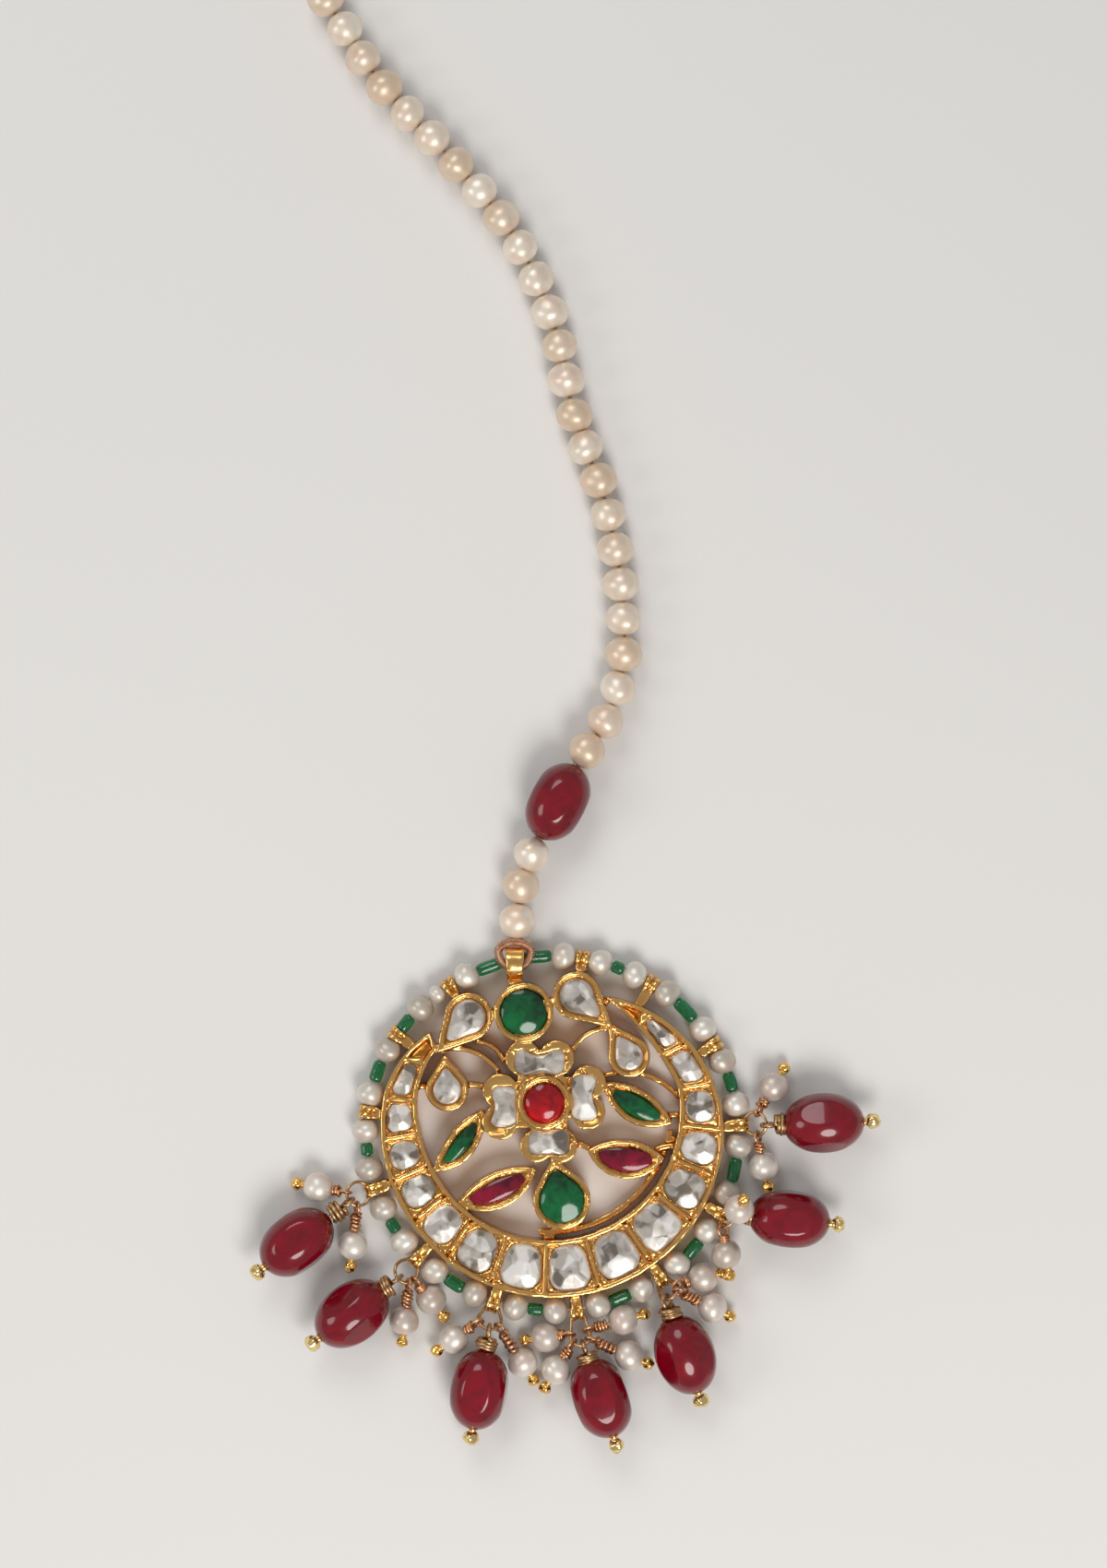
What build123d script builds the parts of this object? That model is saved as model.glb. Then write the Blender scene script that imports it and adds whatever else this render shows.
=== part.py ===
from build123d import *
from collections import namedtuple
import math
import os

# Maang tikka lying on its back. Millimetres. Origin on the flat back of the medallion, under the
# flower; +X to the right, +Y along the head string, +Z out of the jewelled face.

# ---- Clearances shared by every seat and bore ----
SEAT_GAP = 0.05
BEAD_GAP = 0.1

# ---- Crescent ----
OUTER_CENTRE = Vector(-0.1, 0.5)
OUTER_RADIUS = 18.6
INNER_CENTRE = Vector(-0.45, 2.2)
INNER_RADIUS = 14.1
CRESCENT_HEIGHT = 3.4
CRESCENT_WALL = 0.5
DIVIDER_WIDTH = 0.44
CELL_SHELF_DEPTH = 0.5
CRESCENT_SEAT = 1.7
STONE_MARGIN = 0.72
BED_GAP = 0.3
CELL_ROUNDING = 1.25
SMALL_CELL_ROUNDING = 0.5
SMALL_CELL_AREA = 9
CELL_FACETS = 14
TIP_LEFT_OUTER = (-13.4, 10.6)
TIP_LEFT_INNER = (-12.6, 8.8)
TIP_RIGHT = (5.5, 14.5)
SHOULDER_LEFT = (-16.6, 7.6)
SHOULDER_RIGHT = (14.5, 9.8)
NECK_LEFT = (-14.2, 6.0)
NECK_RIGHT = (10.2, 9.9)
# Bearings where the circles begin, pass the middle and end, clockwise from +Y
OUTER_BEARINGS = (107, 193, 280)
INNER_BEARINGS = (80, 171, 262)
# Bearings of the cell dividers, clockwise from +Y round the inner circle's centre
DIVIDER_BEARINGS = (290, 274, 259.9, 245.6, 230.8, 215.2, 198.7, 181.5,
                    164.2, 146.3, 128, 111.7, 96.4, 80.6, 64.1, 46)

# ---- Bezels: stone settings inside the crescent ----
BEZEL_WALL = 0.42
SHELF_DEPTH = 0.4
KUNDAN_WIDTH = 0.42
SEAT_DEPTH = 1.7
SEAT_EASE = 1.05
GIRDLE_RISE = 1.0
TABLE_DROP = 0.1
DOME_RISE = 0.25
PAVILION_SCALE = 0.97
# Crown tiers of the stones: (share of the crown's height, scale)
POLKI_TIERS = ((0.55, 0.78), (1.0, 0.5))
DOME_TIERS = ((0.5, 0.86), (0.85, 0.6), (1.0, 0.3))
ROUND_FACETS = 14
TEAR_FACETS = 13
LEAF_FACETS = 12
PETAL_FACETS = 18

# ---- Rim ring of pearls and green beads ----
RIM_CENTRE = Vector(-0.15, -0.4)
RIM_HALF_WIDTH = 20.2
RIM_HALF_HEIGHT = 19.2
RIM_SIDE_RADIUS = 18.5
RIM_Z = 1.5
RIM_THREAD_RADIUS = 0.13
LOOP_HOLE = 0.6
LOOP_RADIUS = 1.0
LOOP_FLANGE = 0.3
LOOP_GROOVE = 0.1
STUB_HEIGHT = 1.5
STUB_SHARE = 0.8
PLAIN_LOOP_WIDTH = 1.1
DROP_LOOP_WIDTH = 0.9
DROP_LOOP_OFFSET = 0.3
DROP_LOOP_SPACE = 0.87
PLAIN_LOOP_SPACE = 0.6
BAIL_SPACE = 1.3
RIM_PEARL_RADIUS = 1.4
SMALL_PEARL_RADIUS = 0.95
RIM_BORE = 0.3
GREEN_BEAD_RADIUS = 0.62
GREEN_BEAD_ROUND = 0.25

# Rim loops clockwise from +Y: (bearing, reach of the stub inwards, drop it carries or 0,
# beads from it to the next loop: p pearl, q small pearl, g green tube)
RIM_LOOPS = (
    (9.75, 2.1, 0, "pgp"),
    (33.5, 2.6, 0, "pgp"),
    (61.2, 2.9, 0, "pgp"),
    (87.4, 1.9, 7, "pgp"),
    (115.4, 1.9, 6, "pgp"),
    (143.1, 1.9, 5, "pgp"),
    (172.0, 1.9, 4, "pgp"),
    (199.0, 1.9, 3, "pgp"),
    (227.1, 2.0, 2, "pgp"),
    (252.6, 1.9, 1, "pgp"),
    (276.7, 1.6, 0, "pgp"),
    (302.5, 2.2, 0, "gpq"),
    (325.2, 2.9, 0, "pg"),
)
BAIL_BEARING = 347.1
BAIL_BEADS = "gp"

# ---- Bail and bullion loop ----
BAIL_CENTRE = Vector(-4.2, 18.1, 2.3)
BAIL_RADIUS = 1.75
BAIL_HOLE = 1.25
BAIL_TOP_WIDTH = 2.2
BAIL_NECK_WIDTH = 1.5
BAIL_TAPER_TOP = 2.2
BAIL_TAPER_FOOT = 2.8
BAIL_FOOT_DEPTH = 0.9
BAIL_FOOT_HEIGHT = 2.0
BAIL_FOOT_DROP = 0.5
BULLION_CENTRE = Vector(-4.2, 19.4, 2.75)
BULLION_RADIUS = 1.8
BULLION_TUBE = 0.5
BULLION_BORE = 0.28
BULLION_OPENING = 110

# ---- Head string ----
THREAD_RADIUS = 0.18
STRING_BORE = 0.42
STRING_PEARL_RADIUS = 1.86
STRING_PEARL_UNEVENNESS = 0.05
STRING_PEARL_WAVE = 2.4
PEARLS_BELOW_RUBY = 3
PEARLS_ABOVE_RUBY = 25
# Corners of the string's route from the bullion loop to the hook: (x, y, z)
STRING_ROUTE = (
    (-4.0, 20.72, 2.3),
    (-3.9, 25.0, 1.9),
    (-3.0, 28.6, 2.3),
    (-1.5, 31.8, 3.25),
    (2.9, 40.2, 3.2),
    (5.7, 44.0, 2.0),
    (7.7, 50.0, 1.9),
    (7.5, 59.5, 1.9),
    (5.2, 70.0, 1.9),
    (2.0, 77.5, 1.9),
    (0.6, 86.0, 1.9),
    (-3.4, 96.0, 1.9),
    (-10.6, 105.0, 1.9),
    (-18.4, 112.7, 1.9),
    (-23.4, 120.6, 1.9),
    (-27.0, 126.2, 1.6),
)

# ---- Hair hook ----
HOOK_WIRE = 0.42
HOOK_EYE = 1.1
HOOK_SHANK = 8.0
HOOK_BEND = 1.6
HOOK_RETURN = 5.0
HOOK_FLARE = 25
HOOK_BALL = 0.59
HOOK_Z = 1.0
THREAD_EYE = 0.78

# ---- Drops ----
LINK_WIRE = 0.18
LINK_NARROW = 0.74
LINK_SET_IN = 0.1
RUBY_RADIUS = 3.25
RUBY_HALF_LENGTH = 4.4
RUBY_END_RADIUS = 1.25
RUBY_BORE = 0.42
RUBY_WINDOW = 2.86
RUBY_WINDOW_SWEEP = 8.2
RUBY_END_ROUND = 0.45
PEARL_RADIUS = 1.63
PEARL_BORE = 0.32
PinSizes = namedtuple("PinSizes", "wire eye wrap ball")
RUBY_PIN = PinSizes(wire=0.26, eye=0.72, wrap=0.52, ball=0.93)
PEARL_PIN = PinSizes(wire=0.19, eye=0.6, wrap=0.38, ball=0.74)
PIN_SHAFT_SHARE = 0.9
PIN_TURN_PITCH = 1.96
PIN_MOST_TURNS = 3

# Links by drop: (drop, tilt up from the floor and swing from square to the rim in degrees,
# length, radius of the wide end)
LINKS = (
    (1, 24, -4, 2.94, 1.30),
    (2, 27, 2, 3.11, 1.29),
    (3, 40, 4, 3.24, 1.25),
    (4, 25, 0, 3.84, 1.06),
    (5, 54, 0, 3.28, 1.11),
    (6, 63, -9, 2.70, 1.19),
    (7, 31, 3, 3.03, 1.29),
)
# Ruby drops: (drop, x, y, z of the bead, station on its link in degrees, roll of the windows)
RUBY_DROPS = (
    (1, -27.77, -12.04, 3.32, 23, 20),
    (2, -21.80, -19.75, 3.35, -9, 40),
    (3, -8.05, -27.96, 3.32, 7, 10),
    (4, 5.12, -28.90, 3.36, 12, 5),
    (5, 14.23, -24.22, 3.35, -41, 15),
    (6, 25.51, -9.51, 3.36, 62, 55),
    (7, 29.20, 0.85, 3.33, -9, 60),
)
# Pearl drops: (drop, x, y, z of the pearl, station on its link in degrees)
PEARL_DROPS = (
    (1, -25.60, -6.23, 1.72, -24),
    (1, -21.76, -12.52, 1.85, 69),
    (2, -13.29, -18.49, 1.76, 85),
    (2, -16.16, -20.75, 1.81, 50),
    (3, -10.80, -22.65, 2.20, -60),
    (3, -3.35, -25.30, 1.71, 61),
    (4, -0.84, -22.54, 1.71, -111),
    (4, 0.26, -26.01, 2.22, -55),
    (4, 7.56, -20.63, 1.69, 127),
    (4, 8.17, -24.48, 1.82, 66),
    (5, 16.21, -16.03, 1.95, 96),
    (5, 17.19, -19.24, 2.15, 49),
    (6, 19.92, -8.18, 6.40, 18),
    (6, 18.68, -13.35, 2.94, -68),
    (7, 23.82, 4.69, 1.75, 72),
    (7, 22.81, -3.95, 1.72, -87),
)

# ---- Settings inside the crescent ----
# Round bezels: (name, x, y, outer radius, height)
ROUND_BEZELS = (
    ("top_emerald", -3.23, 12.8, 3.2, 4.1),
    ("centre_ruby", -1.0, 3.1, 2.85, 4.9),
)
# Tear bezels: (name, x, y of the round, radius, tip x, tip y, height)
TEAR_BEZELS = (
    ("tear_polki_outer_left", -9.2, 12.3, 2.6, -12.7, 8.4, 3.7),
    ("tear_polki_outer_right", 2.5, 14.6, 2.6, 6.3, 11.2, 3.9),
    ("tear_polki_inner_left", -11.5, 4.4, 2.3, -11.8, 8.2, 3.3),
    ("tear_polki_inner_right", 8.2, 8.0, 2.25, 6.1, 11.6, 3.3),
    ("emerald_drop", 0.9, -7.6, 3.1, -0.1, -2.9, 3.5),
)
# Leaf bezels: (name, tip, side, other tip, other side, height)
LEAF_BEZELS = (
    ("leaf_emerald_left", (-7.7, 2.3), (-11.6, -1.0), (-13.0, -4.5), (-8.5, -2.2), 3.2),
    ("leaf_emerald_right", (5.4, 5.2), (9.5, 4.4), (12.9, 0.8), (8.5, 0.8), 3.3),
    ("leaf_ruby_left", (-1.9, -4.1), (-5.9, -4.4), (-10.45, -7.95), (-5.3, -8.3), 3.1),
    ("leaf_ruby_right", (3.7, -2.2), (8.0, -1.1), (12.0, -3.0), (7.4, -5.2), 3.1),
)
# Petals: (name, direction out of the flower, sideways shift, lobe spread, lobe radius,
# half length and waist notch of the stone, height)
PETALS = (
    ("petal_polki_top", 90, 0.5, 1.8, 1.9, 2.6, 0.6, 3.8),
    ("petal_polki_right", 0, 0.5, 1.6, 1.85, 2.35, 0.5, 3.8),
    ("petal_polki_bottom", -90, 0.5, 1.35, 1.75, 2.15, 0.1, 3.8),
    ("petal_polki_left", 180, 0.5, 1.65, 1.9, 2.1, 0.4, 3.8),
)
PETAL_REACH = 4.75
PETAL_ROOT = 0.6
PETAL_STONE_REACH = 4.35
PETAL_STONE_DEPTH = 2.7
PETAL_STONE_CORNER = 0.7
PETAL_NOTCH_RADIUS = 2.2
PETAL_RUBY_GAP = 0.3

# Solder strips laid between the settings: (start, middle, end, width, bottom, top)
STRIPS = (
    ((-12.3, 8.6), (-9.0, 8.6), (-6.0, 6.4), 0.5, 0.0, 2.9),
    ((-8.4, 9.6), (-6.6, 9.0), (-5.4, 7.4), 0.5, 0.0, 2.2),
    ((1.8, 7.8), (3.4, 10.2), (6.2, 11.0), 0.5, 0.0, 2.9),
    ((4.9, 5.6), (9.0, 6.1), (13.6, 3.4), 0.5, 0.0, 1.4),
    ((2.0, -1.2), (3.0, -1.6), (4.4, -2.3), 0.6, 0.0, 2.0),
    ((10.9, -2.2), (11.9, -1.9), (13.4, -1.7), 0.6, 0.0, 1.8),
    ((-7.6, 4.6), (-8.8, 4.9), (-10.0, 4.7), 0.6, 0.0, 1.8),
    ((-12.9, 4.9), (-13.8, 4.8), (-14.8, 4.6), 0.6, 0.0, 1.8),
    ((-7.4, 12.5), (-6.6, 12.7), (-5.8, 12.7), 0.9, 0.0, 2.6),
    ((-0.8, 13.5), (0.0, 13.9), (0.7, 14.0), 0.9, 0.0, 2.6),
    ((11.8, 1.6), (13.0, 1.6), (14.2, 1.4), 0.6, 0.0, 1.8),
    ((4.2, 13.2), (5.0, 13.6), (5.9, 13.9), 0.7, 0.0, 2.6),
)
LIP_RADIUS = 13.3
LIP_WIDTH = 0.6
LIP_HEIGHT = 1.3
LIP_START = 185
LIP_END = 100
LIP_JOIN = 0.6
LIP_JOIN_TURN = 5


# ---- Small geometry helpers ----
def compass(bearing):
    """Unit vector at a bearing, clockwise from +Y."""
    angle = math.radians(bearing)
    return Vector(math.sin(angle), math.cos(angle))


def on_circle(centre, radius, bearing):
    """Point of a circle at a bearing."""
    return centre + compass(bearing) * radius


def scaled(points, factor):
    """The points drawn in towards their middle, or out from it."""
    middle = sum(points, Vector()) / len(points)
    return [middle + (point - middle) * factor for point in points]


def sampled(face, count, phase):
    """Corners spaced evenly along a face's outline."""
    outline = face.outer_wire()
    steps = [(index + phase) / count * outline.length for index in range(count)]
    return [outline.position_at(step, position_mode=PositionMode.LENGTH) for step in steps]


def corner_radii(points):
    """The largest smooth radius at each inner corner of a route."""
    radii = []
    for before, corner, after in zip(points, points[1:], points[2:]):
        run = corner - before
        next_run = after - corner
        half_turn = math.radians(run.get_angle(next_run)) / 2
        radii.append(0.45 * min(run.length, next_run.length) / math.tan(half_turn))
    return radii


# ---- Outlines of the settings ----
def crescent_outline():
    """The crescent: a wide lower band with a blunt left tip and a sharp right one."""
    right, bottom, left = (on_circle(OUTER_CENTRE, OUTER_RADIUS, turn) for turn in OUTER_BEARINGS)
    inner = [on_circle(INNER_CENTRE, INNER_RADIUS, turn) for turn in INNER_BEARINGS]
    with BuildSketch() as sketch:
        with BuildLine():
            ThreePointArc(TIP_LEFT_OUTER, SHOULDER_LEFT, left)
            ThreePointArc(left, bottom, right)
            ThreePointArc(right, SHOULDER_RIGHT, TIP_RIGHT)
            ThreePointArc(TIP_RIGHT, NECK_RIGHT, inner[0])
            ThreePointArc(inner[0], inner[1], inner[2])
            ThreePointArc(inner[2], NECK_LEFT, TIP_LEFT_INNER)
            Line(TIP_LEFT_INNER, TIP_LEFT_OUTER)
        make_face()
    return sketch.sketch


def cell_outline(band, first, last, side_gap):
    """One cell of the crescent between two divider bearings, clear of each by side_gap."""
    reach = 2 * INNER_RADIUS
    start = INNER_CENTRE - compass(first + 90) * side_gap
    stop = INNER_CENTRE + compass(last + 90) * side_gap
    far_start = start + compass(first) * reach
    far_stop = stop + compass(last) * reach
    with BuildSketch() as sketch:
        Polygon(start, far_start, far_stop, stop, align=None)
        add(band, mode=Mode.INTERSECT)
    return max(sketch.sketch.faces(), key=lambda face: face.area)


def tear_outline(row):
    """A round with two straight sides drawn to a tip."""
    name, x, y, radius, tip_x, tip_y, height = row
    centre = Vector(x, y)
    tip = Vector(tip_x, tip_y)
    axis = tip - centre
    spread = math.degrees(math.acos(radius / axis.length))
    heading = axis.normalized() * radius
    left = centre + heading.rotate(Axis.Z, spread)
    right = centre + heading.rotate(Axis.Z, -spread)
    with BuildSketch() as sketch:
        with BuildLine():
            Line(tip, left)
            ThreePointArc(left, centre - heading, right)
            Line(right, tip)
        make_face()
    return sketch.sketch.face()


def leaf_outline(row):
    """Two arcs meeting in two tips."""
    name, tip, side, far_tip, far_side, height = row
    with BuildSketch() as sketch:
        with BuildLine():
            ThreePointArc(tip, side, far_tip)
            ThreePointArc(far_tip, far_side, tip)
        make_face()
    return sketch.sketch.face()


def round_outline(row):
    """A circle at its place."""
    name, x, y, radius, height = row
    with BuildSketch() as sketch:
        with Locations((x, y)):
            Circle(radius)
    return sketch.sketch.face()


def petal_plane(row):
    """The petal's own plane: x out of the flower, y along its outer edge."""
    heading = row[1]
    flower = Vector(ROUND_BEZELS[1][1], ROUND_BEZELS[1][2])
    outward = Vector(1, 0).rotate(Axis.Z, heading)
    return Plane(origin=flower, x_dir=outward, z_dir=(0, 0, 1))


def petal_outline(row):
    """Two lobes side by side and the root that joins them to the flower's middle."""
    name, heading, shift, spread, lobe, half_length, notch, height = row
    with BuildSketch(petal_plane(row)) as sketch:
        with Locations((PETAL_REACH, shift - spread), (PETAL_REACH, shift + spread)):
            Circle(lobe)
        with Locations((PETAL_REACH / 2 + PETAL_ROOT, shift)):
            Rectangle(PETAL_REACH, 2 * (spread + PETAL_ROOT))
    return sketch.sketch.face()


def petal_shelf(row):
    """The petal inside its wall, clear of the flower's middle bezel."""
    with BuildSketch(petal_plane(row)) as sketch:
        add(inset(petal_outline(row), BEZEL_WALL))
        Circle(ROUND_BEZELS[1][3], mode=Mode.SUBTRACT)
    return max(sketch.sketch.faces(), key=lambda face: face.area)


def petal_stone_outline(row):
    """The petal's stone: a block waisted in its outer side and hollowed round the middle bezel."""
    name, heading, shift, spread, lobe, half_length, notch, height = row
    outer_side = PETAL_STONE_REACH + PETAL_STONE_DEPTH / 2
    with BuildSketch(petal_plane(row)) as sketch:
        with Locations((PETAL_STONE_REACH, shift)):
            RectangleRounded(PETAL_STONE_DEPTH, 2 * half_length, PETAL_STONE_CORNER)
        with Locations((outer_side - notch + PETAL_NOTCH_RADIUS, shift)):
            Circle(PETAL_NOTCH_RADIUS, mode=Mode.SUBTRACT)
        Circle(ROUND_BEZELS[1][3] + PETAL_RUBY_GAP, mode=Mode.SUBTRACT)
    return max(sketch.sketch.faces(), key=lambda face: face.area)


def inset(face, amount):
    """The face drawn in by a margin."""
    with BuildSketch() as sketch:
        add(face)
        offset(amount=-amount, mode=Mode.REPLACE)
    return max(sketch.sketch.faces(), key=lambda piece: piece.area)


# ---- Stones ----
def cut_stone(label, corners, seat, girdle, table_height, tiers):
    """A stone of flat facets: straight pavilion, then crown tiers (share of height, scale)."""
    with BuildPart() as stone:
        levels = [(seat, PAVILION_SCALE), (girdle, 1.0)]
        for share, factor in tiers:
            levels.append((girdle + share * (table_height - girdle), factor))
        for level, factor in levels:
            with BuildSketch(Plane.XY.offset(level)):
                Polygon(*scaled(corners, factor), align=None)
        loft(ruled=True)
    stone.part.label = label
    return stone.part


# ---- Beads ----
def round_bead(radius, bore):
    """A drilled round bead on its own axis Z."""
    with BuildPart() as bead:
        Sphere(radius)
        Cylinder(bore, 3 * radius, mode=Mode.SUBTRACT)
    return bead.part


def ruby_bead():
    """A drilled oval bead with four polished windows swept along its sides."""
    with BuildPart() as bead:
        with BuildSketch(Plane.XZ):
            with BuildLine():
                ThreePointArc((RUBY_END_RADIUS, -RUBY_HALF_LENGTH), (RUBY_RADIUS, 0),
                              (RUBY_END_RADIUS, RUBY_HALF_LENGTH))
                Polyline((RUBY_END_RADIUS, RUBY_HALF_LENGTH), (0, RUBY_HALF_LENGTH),
                         (0, -RUBY_HALF_LENGTH), (RUBY_END_RADIUS, -RUBY_HALF_LENGTH))
            make_face()
        revolve(axis=Axis.Z)
        fillet(bead.edges().filter_by(GeomType.CIRCLE).group_by(Axis.Z)[0], RUBY_END_ROUND)
        fillet(bead.edges().filter_by(GeomType.CIRCLE).group_by(Axis.Z)[-1], RUBY_END_ROUND)
        drop = RUBY_HALF_LENGTH ** 2 / (2 * RUBY_WINDOW_SWEEP)
        for side_plane in (Plane.XZ, Plane.YZ):
            with BuildSketch(side_plane):
                with BuildLine():
                    ThreePointArc((RUBY_WINDOW - drop, -RUBY_HALF_LENGTH), (RUBY_WINDOW, 0),
                                  (RUBY_WINDOW - drop, RUBY_HALF_LENGTH))
                    Line((RUBY_WINDOW - drop, RUBY_HALF_LENGTH), (drop - RUBY_WINDOW, RUBY_HALF_LENGTH))
                    ThreePointArc((drop - RUBY_WINDOW, RUBY_HALF_LENGTH), (-RUBY_WINDOW, 0),
                                  (drop - RUBY_WINDOW, -RUBY_HALF_LENGTH))
                    Line((drop - RUBY_WINDOW, -RUBY_HALF_LENGTH), (RUBY_WINDOW - drop, -RUBY_HALF_LENGTH))
                make_face()
            extrude(amount=2 * RUBY_RADIUS, both=True, mode=Mode.INTERSECT)
        Cylinder(RUBY_BORE, 3 * RUBY_HALF_LENGTH, mode=Mode.SUBTRACT)
    return bead.part


def tube_bead(length):
    """A short glass tube with softened ends."""
    with BuildPart() as bead:
        Cylinder(GREEN_BEAD_RADIUS, length)
        fillet(bead.edges(), min(GREEN_BEAD_ROUND, 0.4 * length))
        Cylinder(RIM_BORE, 2 * length, mode=Mode.SUBTRACT)
    return bead.part


# ---- The rim ring: an oval of four tangent arcs ----
RIM_SIDE_SHIFT = RIM_HALF_WIDTH - RIM_SIDE_RADIUS
RIM_TOP_SHIFT = (RIM_SIDE_SHIFT ** 2 / (RIM_HALF_HEIGHT - RIM_SIDE_RADIUS)
                 - (RIM_HALF_HEIGHT - RIM_SIDE_RADIUS)) / 2
RIM_TOP_RADIUS = RIM_HALF_HEIGHT + RIM_TOP_SHIFT
RIM_CORNER = math.degrees(math.atan2(RIM_TOP_SHIFT, RIM_SIDE_SHIFT))


def rim_point(bearing):
    """Point of the rim oval at a bearing from its centre."""
    direction = compass(bearing)
    corner = Vector(RIM_SIDE_SHIFT, 0) + Vector(RIM_SIDE_RADIUS, 0).rotate(Axis.Z, RIM_CORNER)
    if abs(direction.Y) * corner.X < abs(direction.X) * corner.Y:
        centre = Vector(math.copysign(RIM_SIDE_SHIFT, direction.X), 0)
        radius = RIM_SIDE_RADIUS
    else:
        centre = Vector(0, -math.copysign(RIM_TOP_SHIFT, direction.Y))
        radius = RIM_TOP_RADIUS
    along = direction.dot(centre)
    reach = along + math.sqrt(along ** 2 - centre.length ** 2 + radius ** 2)
    return RIM_CENTRE + direction * reach + Vector(0, 0, RIM_Z)


def rim_frame(bearing, offset_out=0.0):
    """Plane on the rim: origin on the thread, x outwards, z along the thread."""
    ahead = rim_point(bearing + 0.5) - rim_point(bearing - 0.5)
    along = ahead.normalized()
    outward = along.rotate(Axis.Z, 90)
    return Plane(origin=rim_point(bearing) + outward * offset_out, x_dir=outward, z_dir=along)


def rim_spans():
    """Gaps between neighbouring loops: (start bearing, end bearing, start space, end space, beads)."""
    stops = [(bearing, DROP_LOOP_SPACE if drop else PLAIN_LOOP_SPACE, beads)
             for bearing, reach, drop, beads in RIM_LOOPS]
    stops.append((BAIL_BEARING, BAIL_SPACE, BAIL_BEADS))
    spans = []
    for (bearing, space, beads), (next_bearing, next_space, unused) in zip(stops, stops[1:] + stops[:1]):
        spans.append((bearing, bearing + (next_bearing - bearing) % 360, space, next_space, beads))
    return spans


def rim_beads():
    """Every bead of the rim: (kind, plane, radius or length)."""
    placed = []
    for start, stop, start_space, stop_space, beads in rim_spans():
        radius_here = (rim_point((start + stop) / 2) - RIM_CENTRE - Vector(0, 0, RIM_Z)).length
        span = math.radians(stop - start) * radius_here
        free = span - start_space - stop_space - SEAT_GAP * (len(beads) + 1)
        pearls = beads.count("p")
        free -= 2 * SMALL_PEARL_RADIUS * beads.count("q")
        pearl = min(RIM_PEARL_RADIUS, (free - 1.15) / (2 * pearls))
        tube = free - 2 * pearl * pearls
        lengths = {"p": 2 * pearl, "q": 2 * SMALL_PEARL_RADIUS, "g": tube}
        travelled = start_space + SEAT_GAP
        for kind in beads:
            middle = travelled + lengths[kind] / 2
            bearing = start + math.degrees(middle / radius_here)
            placed.append((kind, rim_frame(bearing), lengths[kind]))
            travelled += lengths[kind] + SEAT_GAP
    return placed


# ---- The head string's route ----
def string_route():
    """Straight runs joined by wide tangent arcs."""
    points = [Vector(*point) for point in STRING_ROUTE]
    with BuildLine() as route:
        FilletPolyline(*points, radius=corner_radii(points))
    return route.wire()


def string_stations(route):
    """Middle and length of each bead along the string: (kind, distance, radius)."""
    stations = []
    travelled = SEAT_GAP
    for index in range(PEARLS_BELOW_RUBY + PEARLS_ABOVE_RUBY):
        if index == PEARLS_BELOW_RUBY:
            travelled += RUBY_HALF_LENGTH
            stations.append(("ruby", travelled, RUBY_HALF_LENGTH))
            travelled += RUBY_HALF_LENGTH + BEAD_GAP
        radius = STRING_PEARL_RADIUS + STRING_PEARL_UNEVENNESS * math.sin(STRING_PEARL_WAVE * index)
        travelled += radius
        stations.append(("pearl", travelled, radius))
        travelled += radius + BEAD_GAP
    return stations


def route_plane(route, distance):
    """Plane across the route at a distance along it."""
    place = route.position_at(distance, position_mode=PositionMode.LENGTH)
    heading = route.tangent_at(distance, position_mode=PositionMode.LENGTH)
    return Plane(origin=place, z_dir=heading)


# ---- The drops' links and pins ----
def link_plane(drop, tilt, swing):
    """The link's plane: origin in its rim loop, x along the link, y across it."""
    bearing = next(row[0] for row in RIM_LOOPS if row[2] == drop)
    rim = rim_frame(bearing, DROP_LOOP_OFFSET)
    outward = rim.x_dir.rotate(Axis.Z, swing)
    across = rim.z_dir.rotate(Axis.Z, swing)
    length_way = outward * math.cos(math.radians(tilt)) + Vector(0, 0, math.sin(math.radians(tilt)))
    return Plane(origin=rim.origin, x_dir=length_way, z_dir=length_way.cross(across * -1))


def pin_plane(drop, station, bead, pin):
    """The pin's plane: origin at its eye, z towards the bead, the eye's axis along y."""
    plane, length, wide = links[drop]
    angle = math.radians(station)
    place = (LINK_SET_IN + length - wide + wide * math.cos(angle), wide * math.sin(angle), 0)
    hold = plane.from_local_coords(Vector(*place))
    wire_heading = plane.x_dir * -math.sin(angle) + plane.y_dir * math.cos(angle)
    along = (bead - hold).normalized()
    eye_axis = (wire_heading - along * wire_heading.dot(along)).normalized()
    slack = pin.eye - pin.wire - LINK_WIRE - SEAT_GAP
    return Plane(origin=hold + along * slack, x_dir=eye_axis.cross(along), z_dir=along)


def head_pin(plane, sizes, reach, bead_half):
    """A wire pin with an eye, wrapped turns, a shaft and an end ball past its bead, along its plane's z.

    The bead's middle is at the reach.
    """
    wrap_end = reach - bead_half - SEAT_GAP
    ball_at = reach + bead_half + sizes.ball + SEAT_GAP
    turns = max(1, math.floor((wrap_end - sizes.eye) / (2 * sizes.wire)))
    with BuildPart(plane) as pin:
        Torus(sizes.eye, sizes.wire, rotation=(90, 0, 0))
        with Locations((0, 0, sizes.eye)):
            Cylinder(sizes.wire * PIN_SHAFT_SHARE, ball_at - sizes.eye,
                     align=(Align.CENTER, Align.CENTER, Align.MIN))
        for turn in range(min(turns, PIN_MOST_TURNS)):
            with Locations((0, 0, wrap_end - sizes.wire * PIN_TURN_PITCH * (turn + 0.5))):
                Torus(sizes.wrap, sizes.wire)
                Cylinder(sizes.wrap, sizes.wire)
        with Locations((0, 0, ball_at)):
            Sphere(sizes.ball)
    return pin.part


links = {drop: (link_plane(drop, tilt, swing), length, wide)
         for drop, tilt, swing, length, wide in LINKS}

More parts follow.
